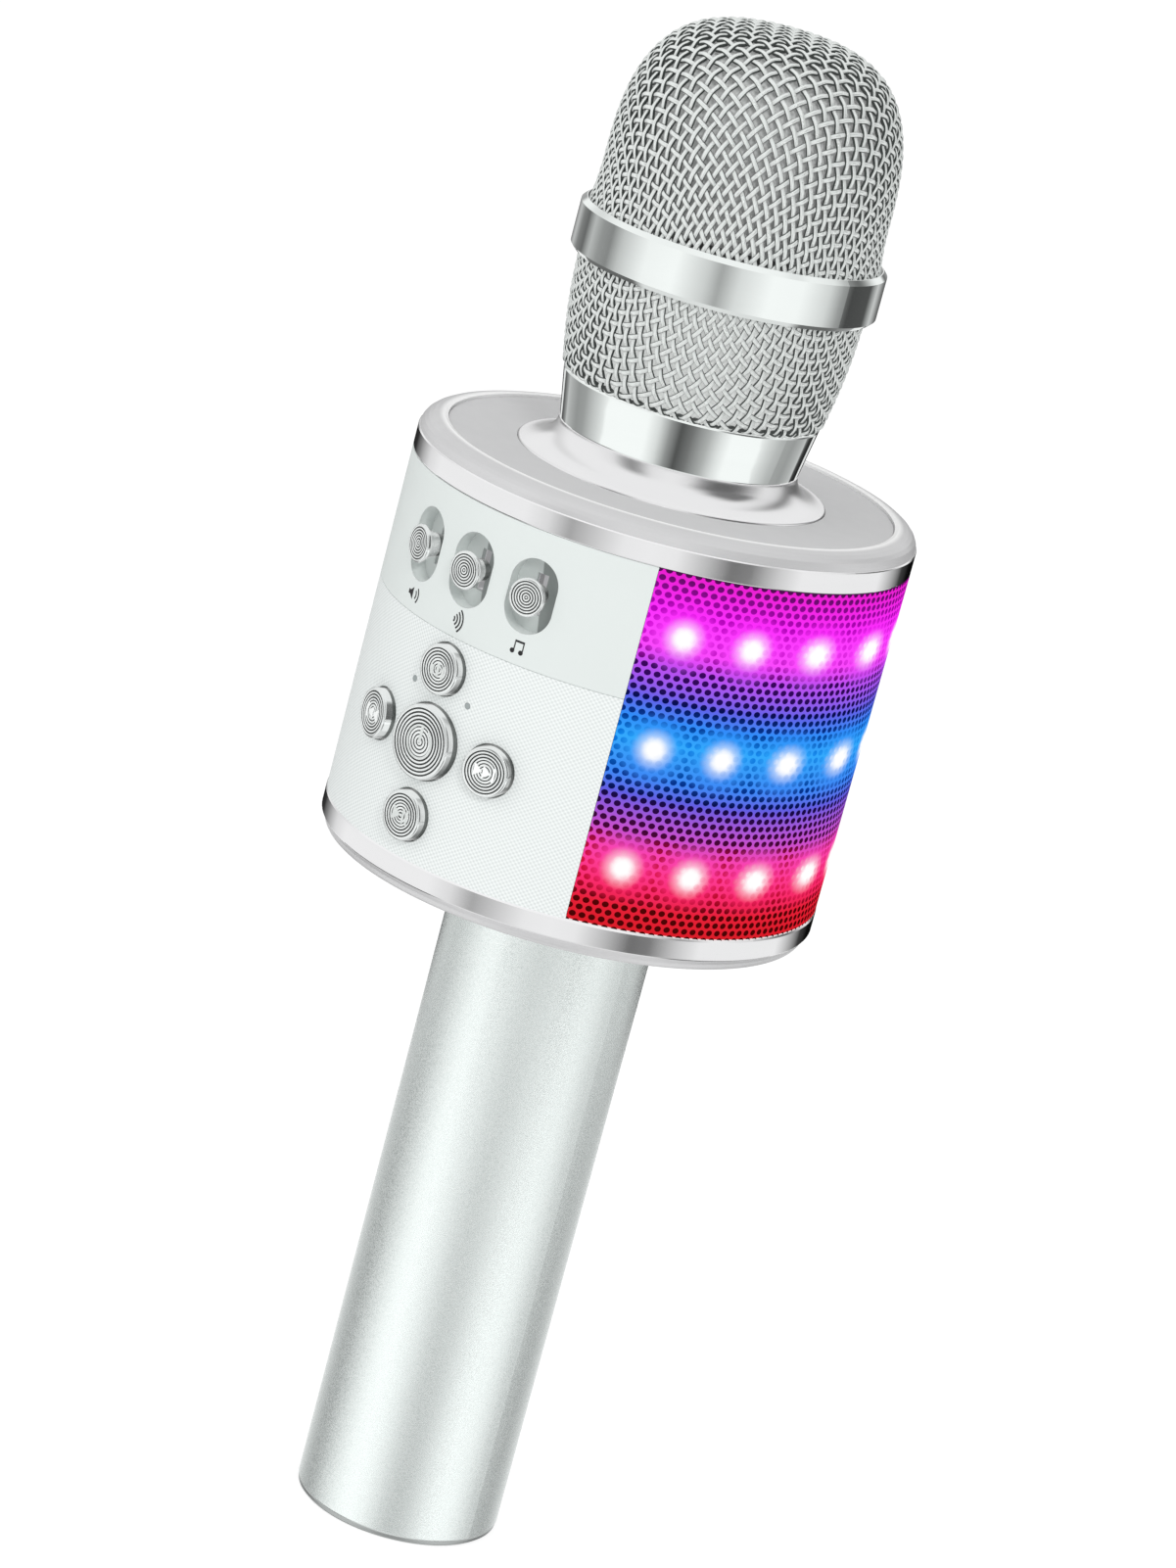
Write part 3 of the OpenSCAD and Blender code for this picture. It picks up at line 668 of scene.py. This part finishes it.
class Shell:
    """A surface of revolution, measured along its meridian from flat_start. outward is 1 or -1."""

    def __init__(self, meridian, flat_start, outward):
        self.r, self.z = meridian
        step = np.hypot(np.diff(self.r), np.diff(self.z))
        self.s = np.concatenate([[0], np.cumsum(step)]) + flat_start
        slope_r, slope_z = np.gradient(self.r, self.s), np.gradient(self.z, self.s)
        size = np.hypot(slope_r, slope_z)
        self.normal_r = -outward * slope_z / size
        self.normal_z = outward * slope_r / size

    def at(self, flat, lift):
        """Points and normals for flat (u, v) positions, lifted along the normal."""
        rho = np.hypot(flat[:, 0], flat[:, 1])
        angle = np.arctan2(flat[:, 1], flat[:, 0])
        nr, nz = np.interp(rho, self.s, self.normal_r), np.interp(rho, self.s, self.normal_z)
        r = np.interp(rho, self.s, self.r) + nr * lift
        z = np.interp(rho, self.s, self.z) + nz * lift
        ca, sa = np.cos(angle), np.sin(angle)
        return np.stack([r * ca, r * sa, z], 1), np.stack([nr * ca, nr * sa, nz], 1)


def tube(centres, normals, radius, sides):
    """A round wire along centres, closed at both ends. Its first faces are those of the sides."""
    tangent = np.gradient(centres, axis=0)
    tangent /= np.linalg.norm(tangent, axis=1)[:, None]
    side = np.cross(normals, tangent)
    side /= np.linalg.norm(side, axis=1)[:, None]
    up = np.cross(tangent, side)
    turn = np.linspace(0, 2 * math.pi, sides, endpoint=False)[None, :, None]
    rings = centres[:, None] + radius * (np.cos(turn) * side[:, None] + np.sin(turn) * up[:, None])
    n = len(centres)
    i, j = np.meshgrid(np.arange(n - 1), np.arange(sides), indexing="ij")
    k = (j + 1) % sides
    corners = (i * sides + j, i * sides + k, (i + 1) * sides + k, (i + 1) * sides + j)
    faces = np.stack(corners, -1).reshape(-1, 4).tolist()
    faces.append(list(range(sides))[::-1])
    faces.append(list(range((n - 1) * sides, n * sides)))
    return rings.reshape(-1, 3), faces


def wire_spans(offset, low, high):
    """Where a straight wire at an offset runs within a ring from low to high, as (start, end)."""
    reach = math.sqrt(high ** 2 - offset ** 2)
    gap = math.sqrt(low ** 2 - offset ** 2) if abs(offset) < low else 0.0
    return [(-reach, -gap), (gap, reach)] if gap > 0 else [(-reach, reach)]


def one_wire(shell, pitch, turn, family, number, start, end):
    """A wire of a plain square weave, laid flat, turned, then drawn over the shell."""
    n = max(int((end - start) / pitch * WIRE_STEPS), 3)
    along = np.linspace(start, end, n)
    sign = (1 if number % 2 else -1) * (1 if family else -1)
    lift = sign * WIRE_LIFT * np.sin(math.pi * along / pitch)
    flat = np.stack([np.full(n, (number + 0.5) * pitch), along], 1)
    if family:
        flat = flat[:, ::-1]
    c, s = math.cos(turn), math.sin(turn)
    flat = np.stack([flat[:, 0] * c - flat[:, 1] * s, flat[:, 0] * s + flat[:, 1] * c], 1)
    return tube(*shell.at(flat, lift), WIRE_R, WIRE_SIDES)


def weave(shell, pitch, turn_degrees):
    """All the wires over a shell, and each face's kind: 0 on a wire's outer side, 1 elsewhere."""
    low, high = shell.s[0], shell.s[-1]
    count = int(high / pitch) + 1
    turn = math.radians(turn_degrees)
    parts, kinds = [], []
    top = {i for i in range(WIRE_SIDES) if 30 < (i + 0.5) * 360 / WIRE_SIDES < 150}
    for family in (0, 1):
        for number in range(-count, count):
            offset = (number + 0.5) * pitch
            if abs(offset) >= high:
                continue
            for start, end in wire_spans(offset, low, high):
                points, faces = one_wire(shell, pitch, turn, family, number, start, end)
                parts.append((points, faces))
                kinds += [0 if k % WIRE_SIDES in top else 1 for k in range(len(faces) - 2)] + [1, 1]
    points, faces = merge(parts)
    return points, faces, np.array(kinds)


def woven_piece(name, shell, pitch, replaced):
    """Wire drawn over a shell, with painted shade along its sides, where the strands shade one another."""
    points, faces, kind = weave(shell, pitch, WEAVE_TURN)
    make_piece(name, points, faces, "wire", replaces=[replaced],
               materials=[MATERIALS["wire"], WIRE_SIDE_SHADE], face_material=kind, sharp=60)


def wire_head():
    dome = Shell(dome_meridian(MESH_T / 2), 0.0, 1)
    basket = Shell(basket_meridian(MESH_T / 2), 19.5, -1)
    woven_piece("dome_weave", dome, WIRE_PITCH, "dome_mesh")
    woven_piece("basket_weave", basket, BASKET_PITCH, "lower_basket")


def crumbly(points, amount, seed):
    """Moves points a little, each by its own random step, for an open foam surface."""
    draw = np.random.default_rng(seed)
    return points + draw.uniform(-amount, amount, points.shape)


def liner(name, profile, material, replaced, seed, closed=False):
    """A turned foam pad with an open, crumbly surface."""
    points, faces = lathe(profile, 160, closed=closed)
    points = crumbly(points, 0.12, seed)
    piece = make_piece(name, points, faces, material, replaces=[replaced], sharp=80)


def dome_liner():
    thick = 4
    r, z = dome_meridian(MESH_T + LINER_GAP)
    s = np.concatenate([[0], np.cumsum(np.hypot(np.diff(r), np.diff(z)))])
    steps = np.linspace(0, 1, 90) * s[-1]
    r, z = np.interp(steps, s, r), np.interp(steps, s, z)
    inner_r = np.maximum(r - thick, 0)
    inner_z = np.minimum(z, TOTAL_H - MESH_T - thick - LINER_GAP)
    profile = [(0.0 if i == 0 else a, b) for i, (a, b) in enumerate(zip(r, z))]
    profile += list(zip(inner_r[::-1][:60], inner_z[::-1][:60])) + [(0.0, inner_z[0])]
    liner("dome_liner", profile, "foam_dark", "dome_foam", 3)


def basket_liner():
    inner_r = 14.0
    r, z = basket_meridian(MESH_T + LINER_GAP)
    keep = (z > BASKET_LOW + 1.5) & (z < BASKET_TOP - 0.3)
    t = np.linspace(z[keep][0], z[keep][-1], 50)
    outer = list(zip(np.interp(t, z, r), t))
    profile = outer + [(inner_r, t[-1]), (inner_r, t[0])]
    liner("basket_liner", profile, "foam_light", "basket_foam", 5, closed=True)


# ---- turned pieces ----


def hem_shadow_ring():
    """A dark rubber ring just inside the dome's hem: a painted shadow seen between the strands."""
    radius, height, thick = DOME_R + DOME_FLARE - 1.75, BAND_TOP + 0.4, 0.6
    turn = np.linspace(0, 2 * math.pi, 12, endpoint=False)
    profile = [(radius + thick * math.cos(a), height + thick * math.sin(a)) for a in turn]
    points, faces = lathe(profile, 160, closed=True)
    make_piece("hem_shadow_ring", points, faces, "rubber")


def neck_flare():
    """The skirt between the top plate and the collar, with a small round bead at its foot."""
    low, high = box_mm("neck_skirt")
    plate_top = box_mm("top_plate")[1].z
    bore, neck_r, bead = 18.0, 19.65, 0.35
    foot_r, foot_z = high.x - bead, plate_top + bead
    profile = [(bore, low.z), (high.x, low.z), (high.x, plate_top - 0.05)]
    for a in np.radians(np.arange(0, 81, 10)):
        profile.append((foot_r + bead * math.cos(a), plate_top + bead * math.sin(a)))
    for a in np.radians(np.arange(0, 91, 3)):
        r = neck_r + (foot_r - neck_r) * (1 - math.sin(a))
        profile.append((r, foot_z + (high.z - foot_z) * (1 - math.cos(a))))
    profile.append((bore, high.z))
    points, faces = lathe(profile, 240, closed=True)
    make_piece("neck_flare", points, faces, "skirt_white", replaces=["neck_skirt"], sharp=50)


def lip_bead():
    """A bead that runs from the bottom cover's lip out to the edge of the ring above it."""
    top = box_mm("lower_trim_ring")[0].z + 0.03
    low = top - 0.75
    inner_r, edge_r = LIP_R - 0.7, DRUM_R - 0.15
    profile = [(inner_r, low), (LIP_R + 0.02, low), (edge_r, top - 0.1), (edge_r, top), (inner_r, top)]
    points, faces = lathe(profile, 256, closed=True)
    make_piece("lip_bead", points, faces, "bezel_white")


def seam_strip():
    """Fills the seam between the two front panels."""
    low, high = box_mm("button_panel")[1].z, box_mm("slider_panel")[0].z
    width = math.radians(GRILLE_START - (GRILLE_END - 360)) * DRUM_R - 0.6
    middle = (GRILLE_START + GRILLE_END - 360) / 2
    inner_r, outer_r = DRUM_R - 1.4, DRUM_R - 0.16
    count = 90
    section = [(inner_r, low), (outer_r, low), (outer_r, high), (inner_r, high)]
    points = [(x, z, r) for x in np.linspace(-width / 2, width / 2, count) for r, z in section]
    faces = []
    for start in range(0, 4 * count - 4, 4):
        for j in range(4):
            k = (j + 1) % 4
            faces.append([start + j, start + k, start + 4 + k, start + 4 + j])
    last = 4 * count - 4
    faces += [[3, 2, 1, 0], [last, last + 1, last + 2, last + 3]]
    make_piece("seam_strip", wrap_on_drum(points, middle, 0), faces, "panel_weave")


# ---- perforated grille ----

HOLE_PITCH = 1.555
ROW_COUNT = 46
HOLE_RX = 0.56
HOLE_RZ = 0.49
SKIN_T = 0.35


def speaker_grille():
    """A sheet punched with staggered holes, cut to its outline, then rolled round the drum."""
    weld_gap, cut_gap = 0.002, 0.0005
    width = math.radians(GRILLE_END - GRILLE_START) * DRUM_R
    height = WALL_TOP - WALL_LOW
    row = height / ROW_COUNT
    columns = round(width / HOLE_PITCH)
    pitch = width / columns
    side_y = (row ** 2 - pitch ** 2 / 4) / (2 * row)
    tip_y = row - side_y
    mid = (pitch / 4, (side_y + tip_y) / 2)
    side = (pitch / 2, side_y)
    half = [(pitch / 2, 0), side, mid, (0, tip_y), (-mid[0], mid[1]), (-side[0], side[1])]
    edge = np.array(half + [(-x, -y) for x, y in half])
    angle = np.radians(np.arange(12) * 30)
    hole = np.stack([HOLE_RX * np.cos(angle), HOLE_RZ * np.sin(angle)], 1)
    cell = np.concatenate([edge, hole])
    centres = np.array([
        (-width / 2 + (i + (0.5 if k % 2 else 0.0)) * pitch, k * row)
        for k in range(ROW_COUNT + 1) for i in range(columns + 1 - k % 2)
    ])
    flat = (centres[:, None] + cell[None]).reshape(-1, 2)
    count = len(flat)
    layers = [np.c_[flat, np.full(count, r)] for r in (DRUM_R, DRUM_R - SKIN_T)]
    points = np.concatenate(layers)
    j = np.arange(12)
    k = (j + 1) % 12
    front = np.stack([j, k, k + 12, j + 12], 1)
    wall = np.stack([j + 12, k + 12, k + 12 + count, j + 12 + count], 1)
    back = np.stack([k + count, j + count, j + 12 + count, k + 12 + count], 1)
    starts = (np.arange(len(centres)) * 24)[:, None, None]
    faces = np.concatenate([(part[None] + starts).reshape(-1, 4) for part in (front, wall, back)]).tolist()
    faces += (np.arange(12) + 12 + count + starts[:, :, 0]).tolist()
    kind = np.repeat([0, 1, 1, 1], [len(centres) * 12] * 3 + [len(centres)])

    mesh = bpy.data.meshes.new("grille_skin")
    mesh.from_pydata(points.tolist(), [], faces)
    mesh.polygons.foreach_set("material_index", kind.astype(np.int32))
    sheet = bmesh.new()
    sheet.from_mesh(mesh)
    bmesh.ops.remove_doubles(sheet, verts=sheet.verts, dist=weld_gap)
    cuts = [
        ((-width / 2, 0, 0), (-1, 0, 0)), ((width / 2, 0, 0), (1, 0, 0)),
        ((0, 0, 0), (0, -1, 0)), ((0, height, 0), (0, 1, 0)),
    ]
    for point, normal in cuts:
        everything = sheet.verts[:] + sheet.edges[:] + sheet.faces[:]
        bmesh.ops.bisect_plane(sheet, geom=everything, plane_co=point, plane_no=normal,
                               clear_outer=True, dist=cut_gap)
    sheet.to_mesh(mesh)
    sheet.free()
    flat = np.zeros(len(mesh.vertices) * 3)
    mesh.vertices.foreach_get("co", flat)
    rolled = wrap_on_drum(flat.reshape(-1, 3), (GRILLE_START + GRILLE_END) / 2, WALL_LOW) * MM
    mesh.vertices.foreach_set("co", rolled.ravel())
    place_mesh("grille_skin", mesh, "grille_paint", replaces=["speaker_grille"],
               materials=[MATERIALS["grille_paint"], MATERIALS["diffuser"]], sharp=40)


# ---- buttons and knobs ----

# How far a cap's face lies below the CAD face, where its raised pictogram ends
LAND_DROP = 0.03
# How far below its face a button, and a knob, turns dark with painted shade
SHADE_BELOW = 1.4
KNOB_SHADE_BELOW = 2.9


def grooved_face(face_r, face, pitch, depth):
    """Profile of a flat face with rings cut into it, from its edge to its centre."""
    steps = int(face_r / pitch * 8)
    radii = np.linspace(face_r, 0, steps + 1)
    turns = 2 * math.pi * (face_r - radii) / pitch
    return list(zip(radii, face - depth * (0.5 - 0.5 * np.cos(turns))))


def rounded_rim(outer_r, face, rim):
    angles = np.radians(np.linspace(0, 90, 9))
    return [(outer_r - rim + rim * math.cos(a), face - rim + rim * math.sin(a)) for a in angles]


def cap_kinds(points, faces, face, depth, land_r, shade):
    """Kind of each face of a cap: 0 on its lands, 1 in its grooves, 4 on its rim and 3 below it; 1 and 3
    get painted shade.
    """
    levels = np.array([np.mean(points[f, 2]) for f in faces])
    reach = np.array([np.mean(np.hypot(points[f, 0], points[f, 1])) for f in faces])
    kind = ((levels < face - 0.55 * depth) & (levels > face - 1.2 * depth)).astype(int)
    kind[reach > land_r] = 4
    kind[levels < face - shade] = 3
    return kind


def turned_cap(name, body, replaced, profile, face, depth, spot, land_r, shade, icon=(), icon_look=None):
    """A turned part on the radial line through spot, an azimuth and a height, with a raised icon."""
    points, faces = lathe(profile, 96)
    kind = cap_kinds(points, faces, face, depth, land_r, shade)
    raised = [plate(shape, face - depth, face + LAND_DROP) for shape in icon]
    points, faces = merge([(points, faces)] + raised)
    kind = np.concatenate([kind, np.full(len(faces) - len(kind), 2)])
    materials = [MATERIALS["button_silver"], GROOVE_SHADE, icon_look or ICON, RIM_SHADE, RIM]
    make_piece(name, to_front(points, *spot), faces, "button_silver", body=body, replaces=[replaced],
               materials=materials, face_material=kind, sharp=50)


def power_icon():
    return [arc_band(2.55, 0.3, 122, 418, 40), rectangle(0, 1.35, 0.5, 2.9)]


def triangle(x, direction, size):
    tip = (x + direction * size * 1.35, 0)
    return [(x, -size), tip, (x, size)] if direction > 0 else [(x, size), tip, (x, -size)]


def skip_icon(direction):
    shapes = [triangle(-direction * 1.85, direction, 1.05), triangle(-direction * 0.3, direction, 1.05)]
    return shapes + [rectangle(direction * 1.65, 0, 0.36, 2.3)]


def play_icon():
    return [triangle(-1.7, 1, 1.2), rectangle(0.55, 0, 0.42, 2.4), rectangle(1.4, 0, 0.42, 2.4)]


def mode_icon():
    """Three level bars."""
    bars = [(-1.15, -0.35, 1.5), (0, 0, 2.2), (1.15, -0.15, 1.9)]
    return [rectangle(x, y, 0.55, height) for x, y, height in bars]


def button(name, azimuth, icon, icon_material, pitch):
    """A push button: a stem, a flange behind the panel, and a grooved cap."""
    low, high = box_mm(name)
    flange_r = (high.z - low.z) / 2
    outer_r = flange_r - 0.52
    face = BUTTON_FACE - LAND_DROP
    depth = 0.12
    rim = 0.42
    stem_z, stem_r = 37.15, 1.6
    flange_low, flange_high = 37.6, 38.2
    profile = [
        (0, stem_z), (stem_r, stem_z), (stem_r, flange_low), (flange_r, flange_low),
        (flange_r, flange_high), (outer_r, flange_high), (outer_r, face - SHADE_BELOW),
    ]
    profile += rounded_rim(outer_r, face, rim) + grooved_face(outer_r - rim - 0.02, face, pitch, depth)
    turned_cap(name.replace("_button", "_cap"), name, name, profile, face, depth,
               (azimuth, (low.z + high.z) / 2), outer_r - rim, SHADE_BELOW, icon, icon_material)


def slider_knob(name, azimuth):
    """A slider's knob: a stem that swells outwards, and a grooved cap."""
    low, high = box_mm(name)
    cap_r = (high.z - low.z) / 2 - 0.35
    face = KNOB_FACE - LAND_DROP
    depth = 0.1
    rim = 0.3
    stem_z, stem_r, stem_length, swell, pitch = 38.35, 1.75, 3.3, 0.9, 0.45
    profile = [(0, stem_z)]
    profile += [(stem_r + swell * t ** 2, stem_z + stem_length * t) for t in np.linspace(0, 1, 9)]
    profile += [(cap_r - 0.5, face - 0.75), (cap_r, face - 0.55)]
    profile += rounded_rim(cap_r, face, rim) + grooved_face(cap_r - rim - 0.02, face, pitch, depth)
    turned_cap(name.replace("_knob", "_grip"), name.replace("_knob", "_slider"), name, profile, face, depth,
               (azimuth, (low.z + high.z) / 2), cap_r - rim, KNOB_SHADE_BELOW)


def controls():
    button("power_button", 0, power_icon(), SOFT_ICON, 0.58)
    button("mode_button", 0, mode_icon(), SOFT_ICON, 0.5)
    button("previous_button", -SIDE_AZ, skip_icon(-1), ICON, 0.5)
    button("next_button", SIDE_AZ, skip_icon(1), ICON, 0.5)
    button("play_button", 0, play_icon(), SOFT_ICON, 0.5)
    for i, name in enumerate(("volume_knob", "echo_knob", "music_knob")):
        slider_knob(name, (i - 1) * SLIDER_PITCH)


def print_mark(name, azimuth, height, shapes):
    """Ink pictogram printed on the panel."""
    parts = [plate(shape, DRUM_R - 0.01, DRUM_R + 0.02) for shape in shapes]
    points, faces = merge(parts)
    make_piece(name, wrap_on_drum(points, azimuth, height), faces, "panel_white", materials=[INK])


def printed_marks():
    """Level wedge, echo waves and a note, in place of words, under the sliders."""
    z = 159.3
    cone = [(-1.7, -0.35), (-1.1, -0.35), (-0.3, -1.0), (-0.3, 1.0), (-1.1, 0.35), (-1.7, 0.35)]
    sound = [arc_band(0.9, 0.28, -45, 45, 9, (-0.2, 0)), arc_band(1.6, 0.28, -45, 45, 11, (-0.2, 0))]
    print_mark("volume_mark", -SLIDER_PITCH, z, [cone] + sound)
    waves = [arc_band(r, 0.28, -50, 50, 11, (-1.2, 0)) for r in (0.5, 1.1, 1.7, 2.3)]
    print_mark("echo_mark", 0, z, waves)
    heads = [arc_band(0.2, 0.4, 0, 360, 16, (x, -0.75)) for x in (-0.75, 0.75)]
    stems = [rectangle(-0.5, 0.1, 0.2, 1.8), rectangle(1.0, 0.1, 0.2, 1.8)]
    print_mark("music_mark", SLIDER_PITCH, z, heads + stems + [rectangle(0.25, 0.9, 1.7, 0.35)])


# ---- stage, light and camera ----

AMBIENT = 0.8

# What shiny surfaces see all round, as (degrees from the camera, grey level). The levels follow
# brightness profiles that a scratch program sampled on the photograph, adjusted by hand.
# RING_VIEW is at the height that the drum's rings mirror, BAND_VIEW at that of the head's band,
# HANDLE_VIEW and LOW_VIEW lie lower, for the handle and the collar, and SKIRT_VIEW higher.
RING_VIEW = [
    (-180, 10), (-158, 50), (-148, 130), (-132, 222), (-120, 240), (-60, 240), (-48, 222), (-37, 166),
    (-26, 200), (-12, 236), (0, 240), (12, 236), (26, 186), (37, 112), (46, 124), (60, 204), (72, 238),
    (122, 238), (134, 180), (146, 60), (158, 10), (180, 10),
]
BAND_VIEW = [
    (-180, 60), (-156, 190), (-144, 130), (-132, 105), (-120, 186), (-108, 150), (-96, 136), (-84, 196),
    (-60, 246), (-36, 252), (-12, 208), (-2, 166), (2, 182), (12, 220), (36, 252), (60, 250), (84, 214),
    (98, 150), (108, 72), (132, 80), (146, 200), (160, 120), (180, 60),
]
HANDLE_VIEW = [
    (-180, 268), (-166, 240), (-148, 204), (-132, 172), (-120, 150), (-108, 158), (-88, 212), (-64, 270),
    (-48, 284), (-34, 272), (-14, 222), (0, 206), (14, 220), (34, 272), (48, 284), (64, 270), (88, 214),
    (108, 166), (120, 156), (132, 176), (148, 208), (166, 240), (180, 268),
]
SKIRT_VIEW = [
    (-180, 170), (-160, 160), (-140, 215), (-120, 246), (-80, 246), (-58, 236), (-46, 160), (-38, 120),
    (-30, 160), (-19, 236), (2, 246), (18, 232), (32, 120), (42, 60), (56, 62), (68, 96), (82, 176),
    (98, 240), (118, 220), (130, 120), (142, 80), (158, 70), (170, 150), (180, 170),
]
LOW_VIEW = [
    (-180, 200), (-160, 110), (-144, 98), (-130, 126), (-118, 168), (-106, 226), (-92, 252), (-34, 252),
    (-22, 222), (-11, 148), (-1, 82), (10, 116), (26, 176), (38, 226), (48, 252), (86, 252), (98, 202),
    (110, 156), (130, 114), (150, 104), (170, 190), (180, 200),
]

# Which view lies where, as (lowest and highest degrees above the horizon, view); later ones cover
VIEW_BANDS = [
    (-27.5, -14.4, HANDLE_VIEW),
    (-18.6, -16.0, RING_VIEW),
    (-90, -27.5, LOW_VIEW),
]
STRAIGHT_DOWN = 224
OVERHEAD = 246
FLAG = 92


def sky_tones(g, turned, rise):
    """The tones of the studio, from degrees round (180 at the camera) and degrees above the horizon."""
    share = g.calc("DIVIDE", turned, 360.0)

    def look(view):
        return g.ramp(share, [(degrees / 360 + 0.5, grey(v)) for degrees, v in view])

    def between(low, high, soft=0.15):
        """1 for directions that rise between low and high degrees, 0 outside."""
        above = g.fade(rise, low - soft, low + soft, 0.0, 1.0)
        return g.calc("MULTIPLY", above, g.fade(rise, high - soft, high + soft, 1.0, 0.0))

    tone = look(RING_VIEW)
    for low, high, view in VIEW_BANDS:
        tone = g.mix(between(low, high), tone, look(view))
    tone = g.mix(g.fade(rise, -60, -54, 1.0, 0.0), tone, grey(STRAIGHT_DOWN))
    tone = g.mix(g.fade(rise, -8.6, -8.2, 0.0, 1.0), tone, look(SKIRT_VIEW))
    return g.mix(between(-11.9, -8.4), tone, look(BAND_VIEW))


def studio_tones(g, turned, rise):
    """Sky tones, bright overhead and high up behind the object, with a dark flag over the skirt."""
    share = g.calc("DIVIDE", turned, 360.0)
    behind = g.fade(g.calc("ABSOLUTE", g.calc("SUBTRACT", share, 0.5)), 0.37, 0.42, 0.0, 1.0)
    behind = g.calc("MULTIPLY", behind, g.fade(rise, 5.0, 12.0, 0.0, 1.0))
    overhead = g.calc("MAXIMUM", g.fade(rise, 32.0, 62.0, 0.0, 1.0), behind)
    tone = g.mix(overhead, sky_tones(g, turned, rise), grey(OVERHEAD))
    aside = g.calc("SUBTRACT", turned, 180.0)
    flag_wide = g.calc("MULTIPLY", g.fade(aside, 40, 54, 0.0, 1.0), g.fade(aside, 84, 104, 1.0, 0.0))
    flag_high = g.calc("MULTIPLY", g.fade(rise, 22, 36, 0.0, 1.0), g.fade(rise, 48, 68, 1.0, 0.0))
    return g.mix(g.calc("MULTIPLY", flag_wide, flag_high), tone, grey(FLAG))


def studio_world():
    """White to the camera, soft to matt surfaces, and a studio with dark flags to shiny ones."""
    world = bpy.data.worlds.new("studio")
    bpy.context.scene.world = world
    world.use_nodes = True
    world.node_tree.nodes.clear()
    g = Graph.__new__(Graph)
    g.tree = world.node_tree
    x, y, z = g.split(g.add("ShaderNodeTexCoord").outputs["Generated"])
    angle = g.calc("MULTIPLY", g.calc("ARCTAN2", x, g.calc("MULTIPLY", y, -1.0)), 180 / math.pi)
    turned = g.calc("FLOORED_MODULO", g.calc("ADD", angle, 540 - CAMERA_AZ), 360.0)
    rise = g.calc("MULTIPLY", g.calc("ARCSINE", z), 180 / math.pi)
    path = g.add("ShaderNodeLightPath")
    matt = (AMBIENT, AMBIENT, AMBIENT, 1)
    seen = g.mix(path.outputs["Is Glossy Ray"], matt, studio_tones(g, turned, rise))
    colour = g.mix(path.outputs["Is Camera Ray"], seen, (1, 1, 1, 1))
    background = g.add("ShaderNodeBackground")
    g.plug(colour, background.inputs["Color"])
    output = g.add("ShaderNodeOutputWorld")
    g.tree.links.new(background.outputs[0], output.inputs[0])


def floor():
    """A plain pale floor that shiny surfaces see the studio through."""
    mesh = bpy.data.meshes.new("floor")
    half = 4000 * MM
    corners = [(-half, -half, 0), (half, -half, 0), (half, half, 0), (-half, half, 0)]
    mesh.from_pydata(corners, [], [(0, 1, 2, 3)])
    piece = bpy.data.objects.new("floor", mesh)
    bpy.context.scene.collection.objects.link(piece)
    piece.location.z = -0.02 * MM
    g = Graph("pale_floor")
    g.tree.nodes.remove(g.shader)
    glow = g.add("ShaderNodeEmission")
    glow.inputs["Strength"].default_value = 0.7
    matt = g.add("ShaderNodeBsdfDiffuse")
    matt.inputs["Color"].default_value = (0.42, 0.42, 0.42, 1)
    both = g.add("ShaderNodeAddShader")
    clear = g.add("ShaderNodeBsdfTransparent")
    choice = g.add("ShaderNodeMixShader")
    path = g.add("ShaderNodeLightPath")
    g.tree.links.new(glow.outputs[0], both.inputs[0])
    g.tree.links.new(matt.outputs[0], both.inputs[1])
    g.tree.links.new(path.outputs["Is Glossy Ray"], choice.inputs[0])
    g.tree.links.new(both.outputs[0], choice.inputs[1])
    g.tree.links.new(clear.outputs[0], choice.inputs[2])
    g.tree.links.new(choice.outputs[0], g.tree.nodes["Material Output"].inputs["Surface"])
    mesh.materials.append(g.material)


def place_around(thing, azimuth, elevation, distance, roll=0.0):
    """Puts a light or camera at a distance in millimetres from the target, looking at it."""
    a, e = math.radians(azimuth), math.radians(elevation)
    back = Vector((math.sin(a) * math.cos(e), -math.cos(a) * math.cos(e), math.sin(e)))
    thing.location = Vector((0, 0, CAMERA_TARGET_Z * MM)) + back * distance * MM
    thing.rotation_mode = "QUATERNION"
    turn = Quaternion((0, 0, 1), math.radians(roll))
    thing.rotation_quaternion = (-back).to_track_quat("-Z", "Y") @ turn


def soft_light(name, azimuth, elevation, distance, size, power):
    data = bpy.data.lights.new(name, "AREA")
    data.size = size * MM
    data.energy = power
    light = bpy.data.objects.new(name, data)
    bpy.context.scene.collection.objects.link(light)
    place_around(light, azimuth, elevation, distance)
    light.visible_glossy = False


def camera():
    data = bpy.data.cameras.new("camera")
    data.lens = CAMERA_LENS
    data.sensor_width = 36
    data.clip_start = 0.01
    data.clip_end = 50
    view = bpy.data.objects.new("camera", data)
    bpy.context.scene.collection.objects.link(view)
    place_around(view, CAMERA_AZ, CAMERA_EL, CAMERA_DISTANCE, CAMERA_ROLL)
    bpy.context.scene.camera = view


def hide_from_mirrors():
    """Shiny surfaces show the studio, not the object's own pieces."""
    for piece in bpy.context.scene.objects:
        if piece.type == "MESH" and piece.name != "floor":
            piece.visible_glossy = False


dress_cad_nodes()
wire_head()
dome_liner()
basket_liner()
hem_shadow_ring()
neck_flare()
lip_bead()
speaker_grille()
seam_strip()
controls()
printed_marks()
studio_world()
floor()
soft_light("key", azimuth=CAMERA_AZ + 14, elevation=34, distance=900, size=160, power=1.8)
soft_light("fill", azimuth=CAMERA_AZ - 70, elevation=30, distance=1000, size=700, power=1.5)
hide_from_mirrors()
camera()
bpy.context.scene.view_settings.view_transform = "Standard"
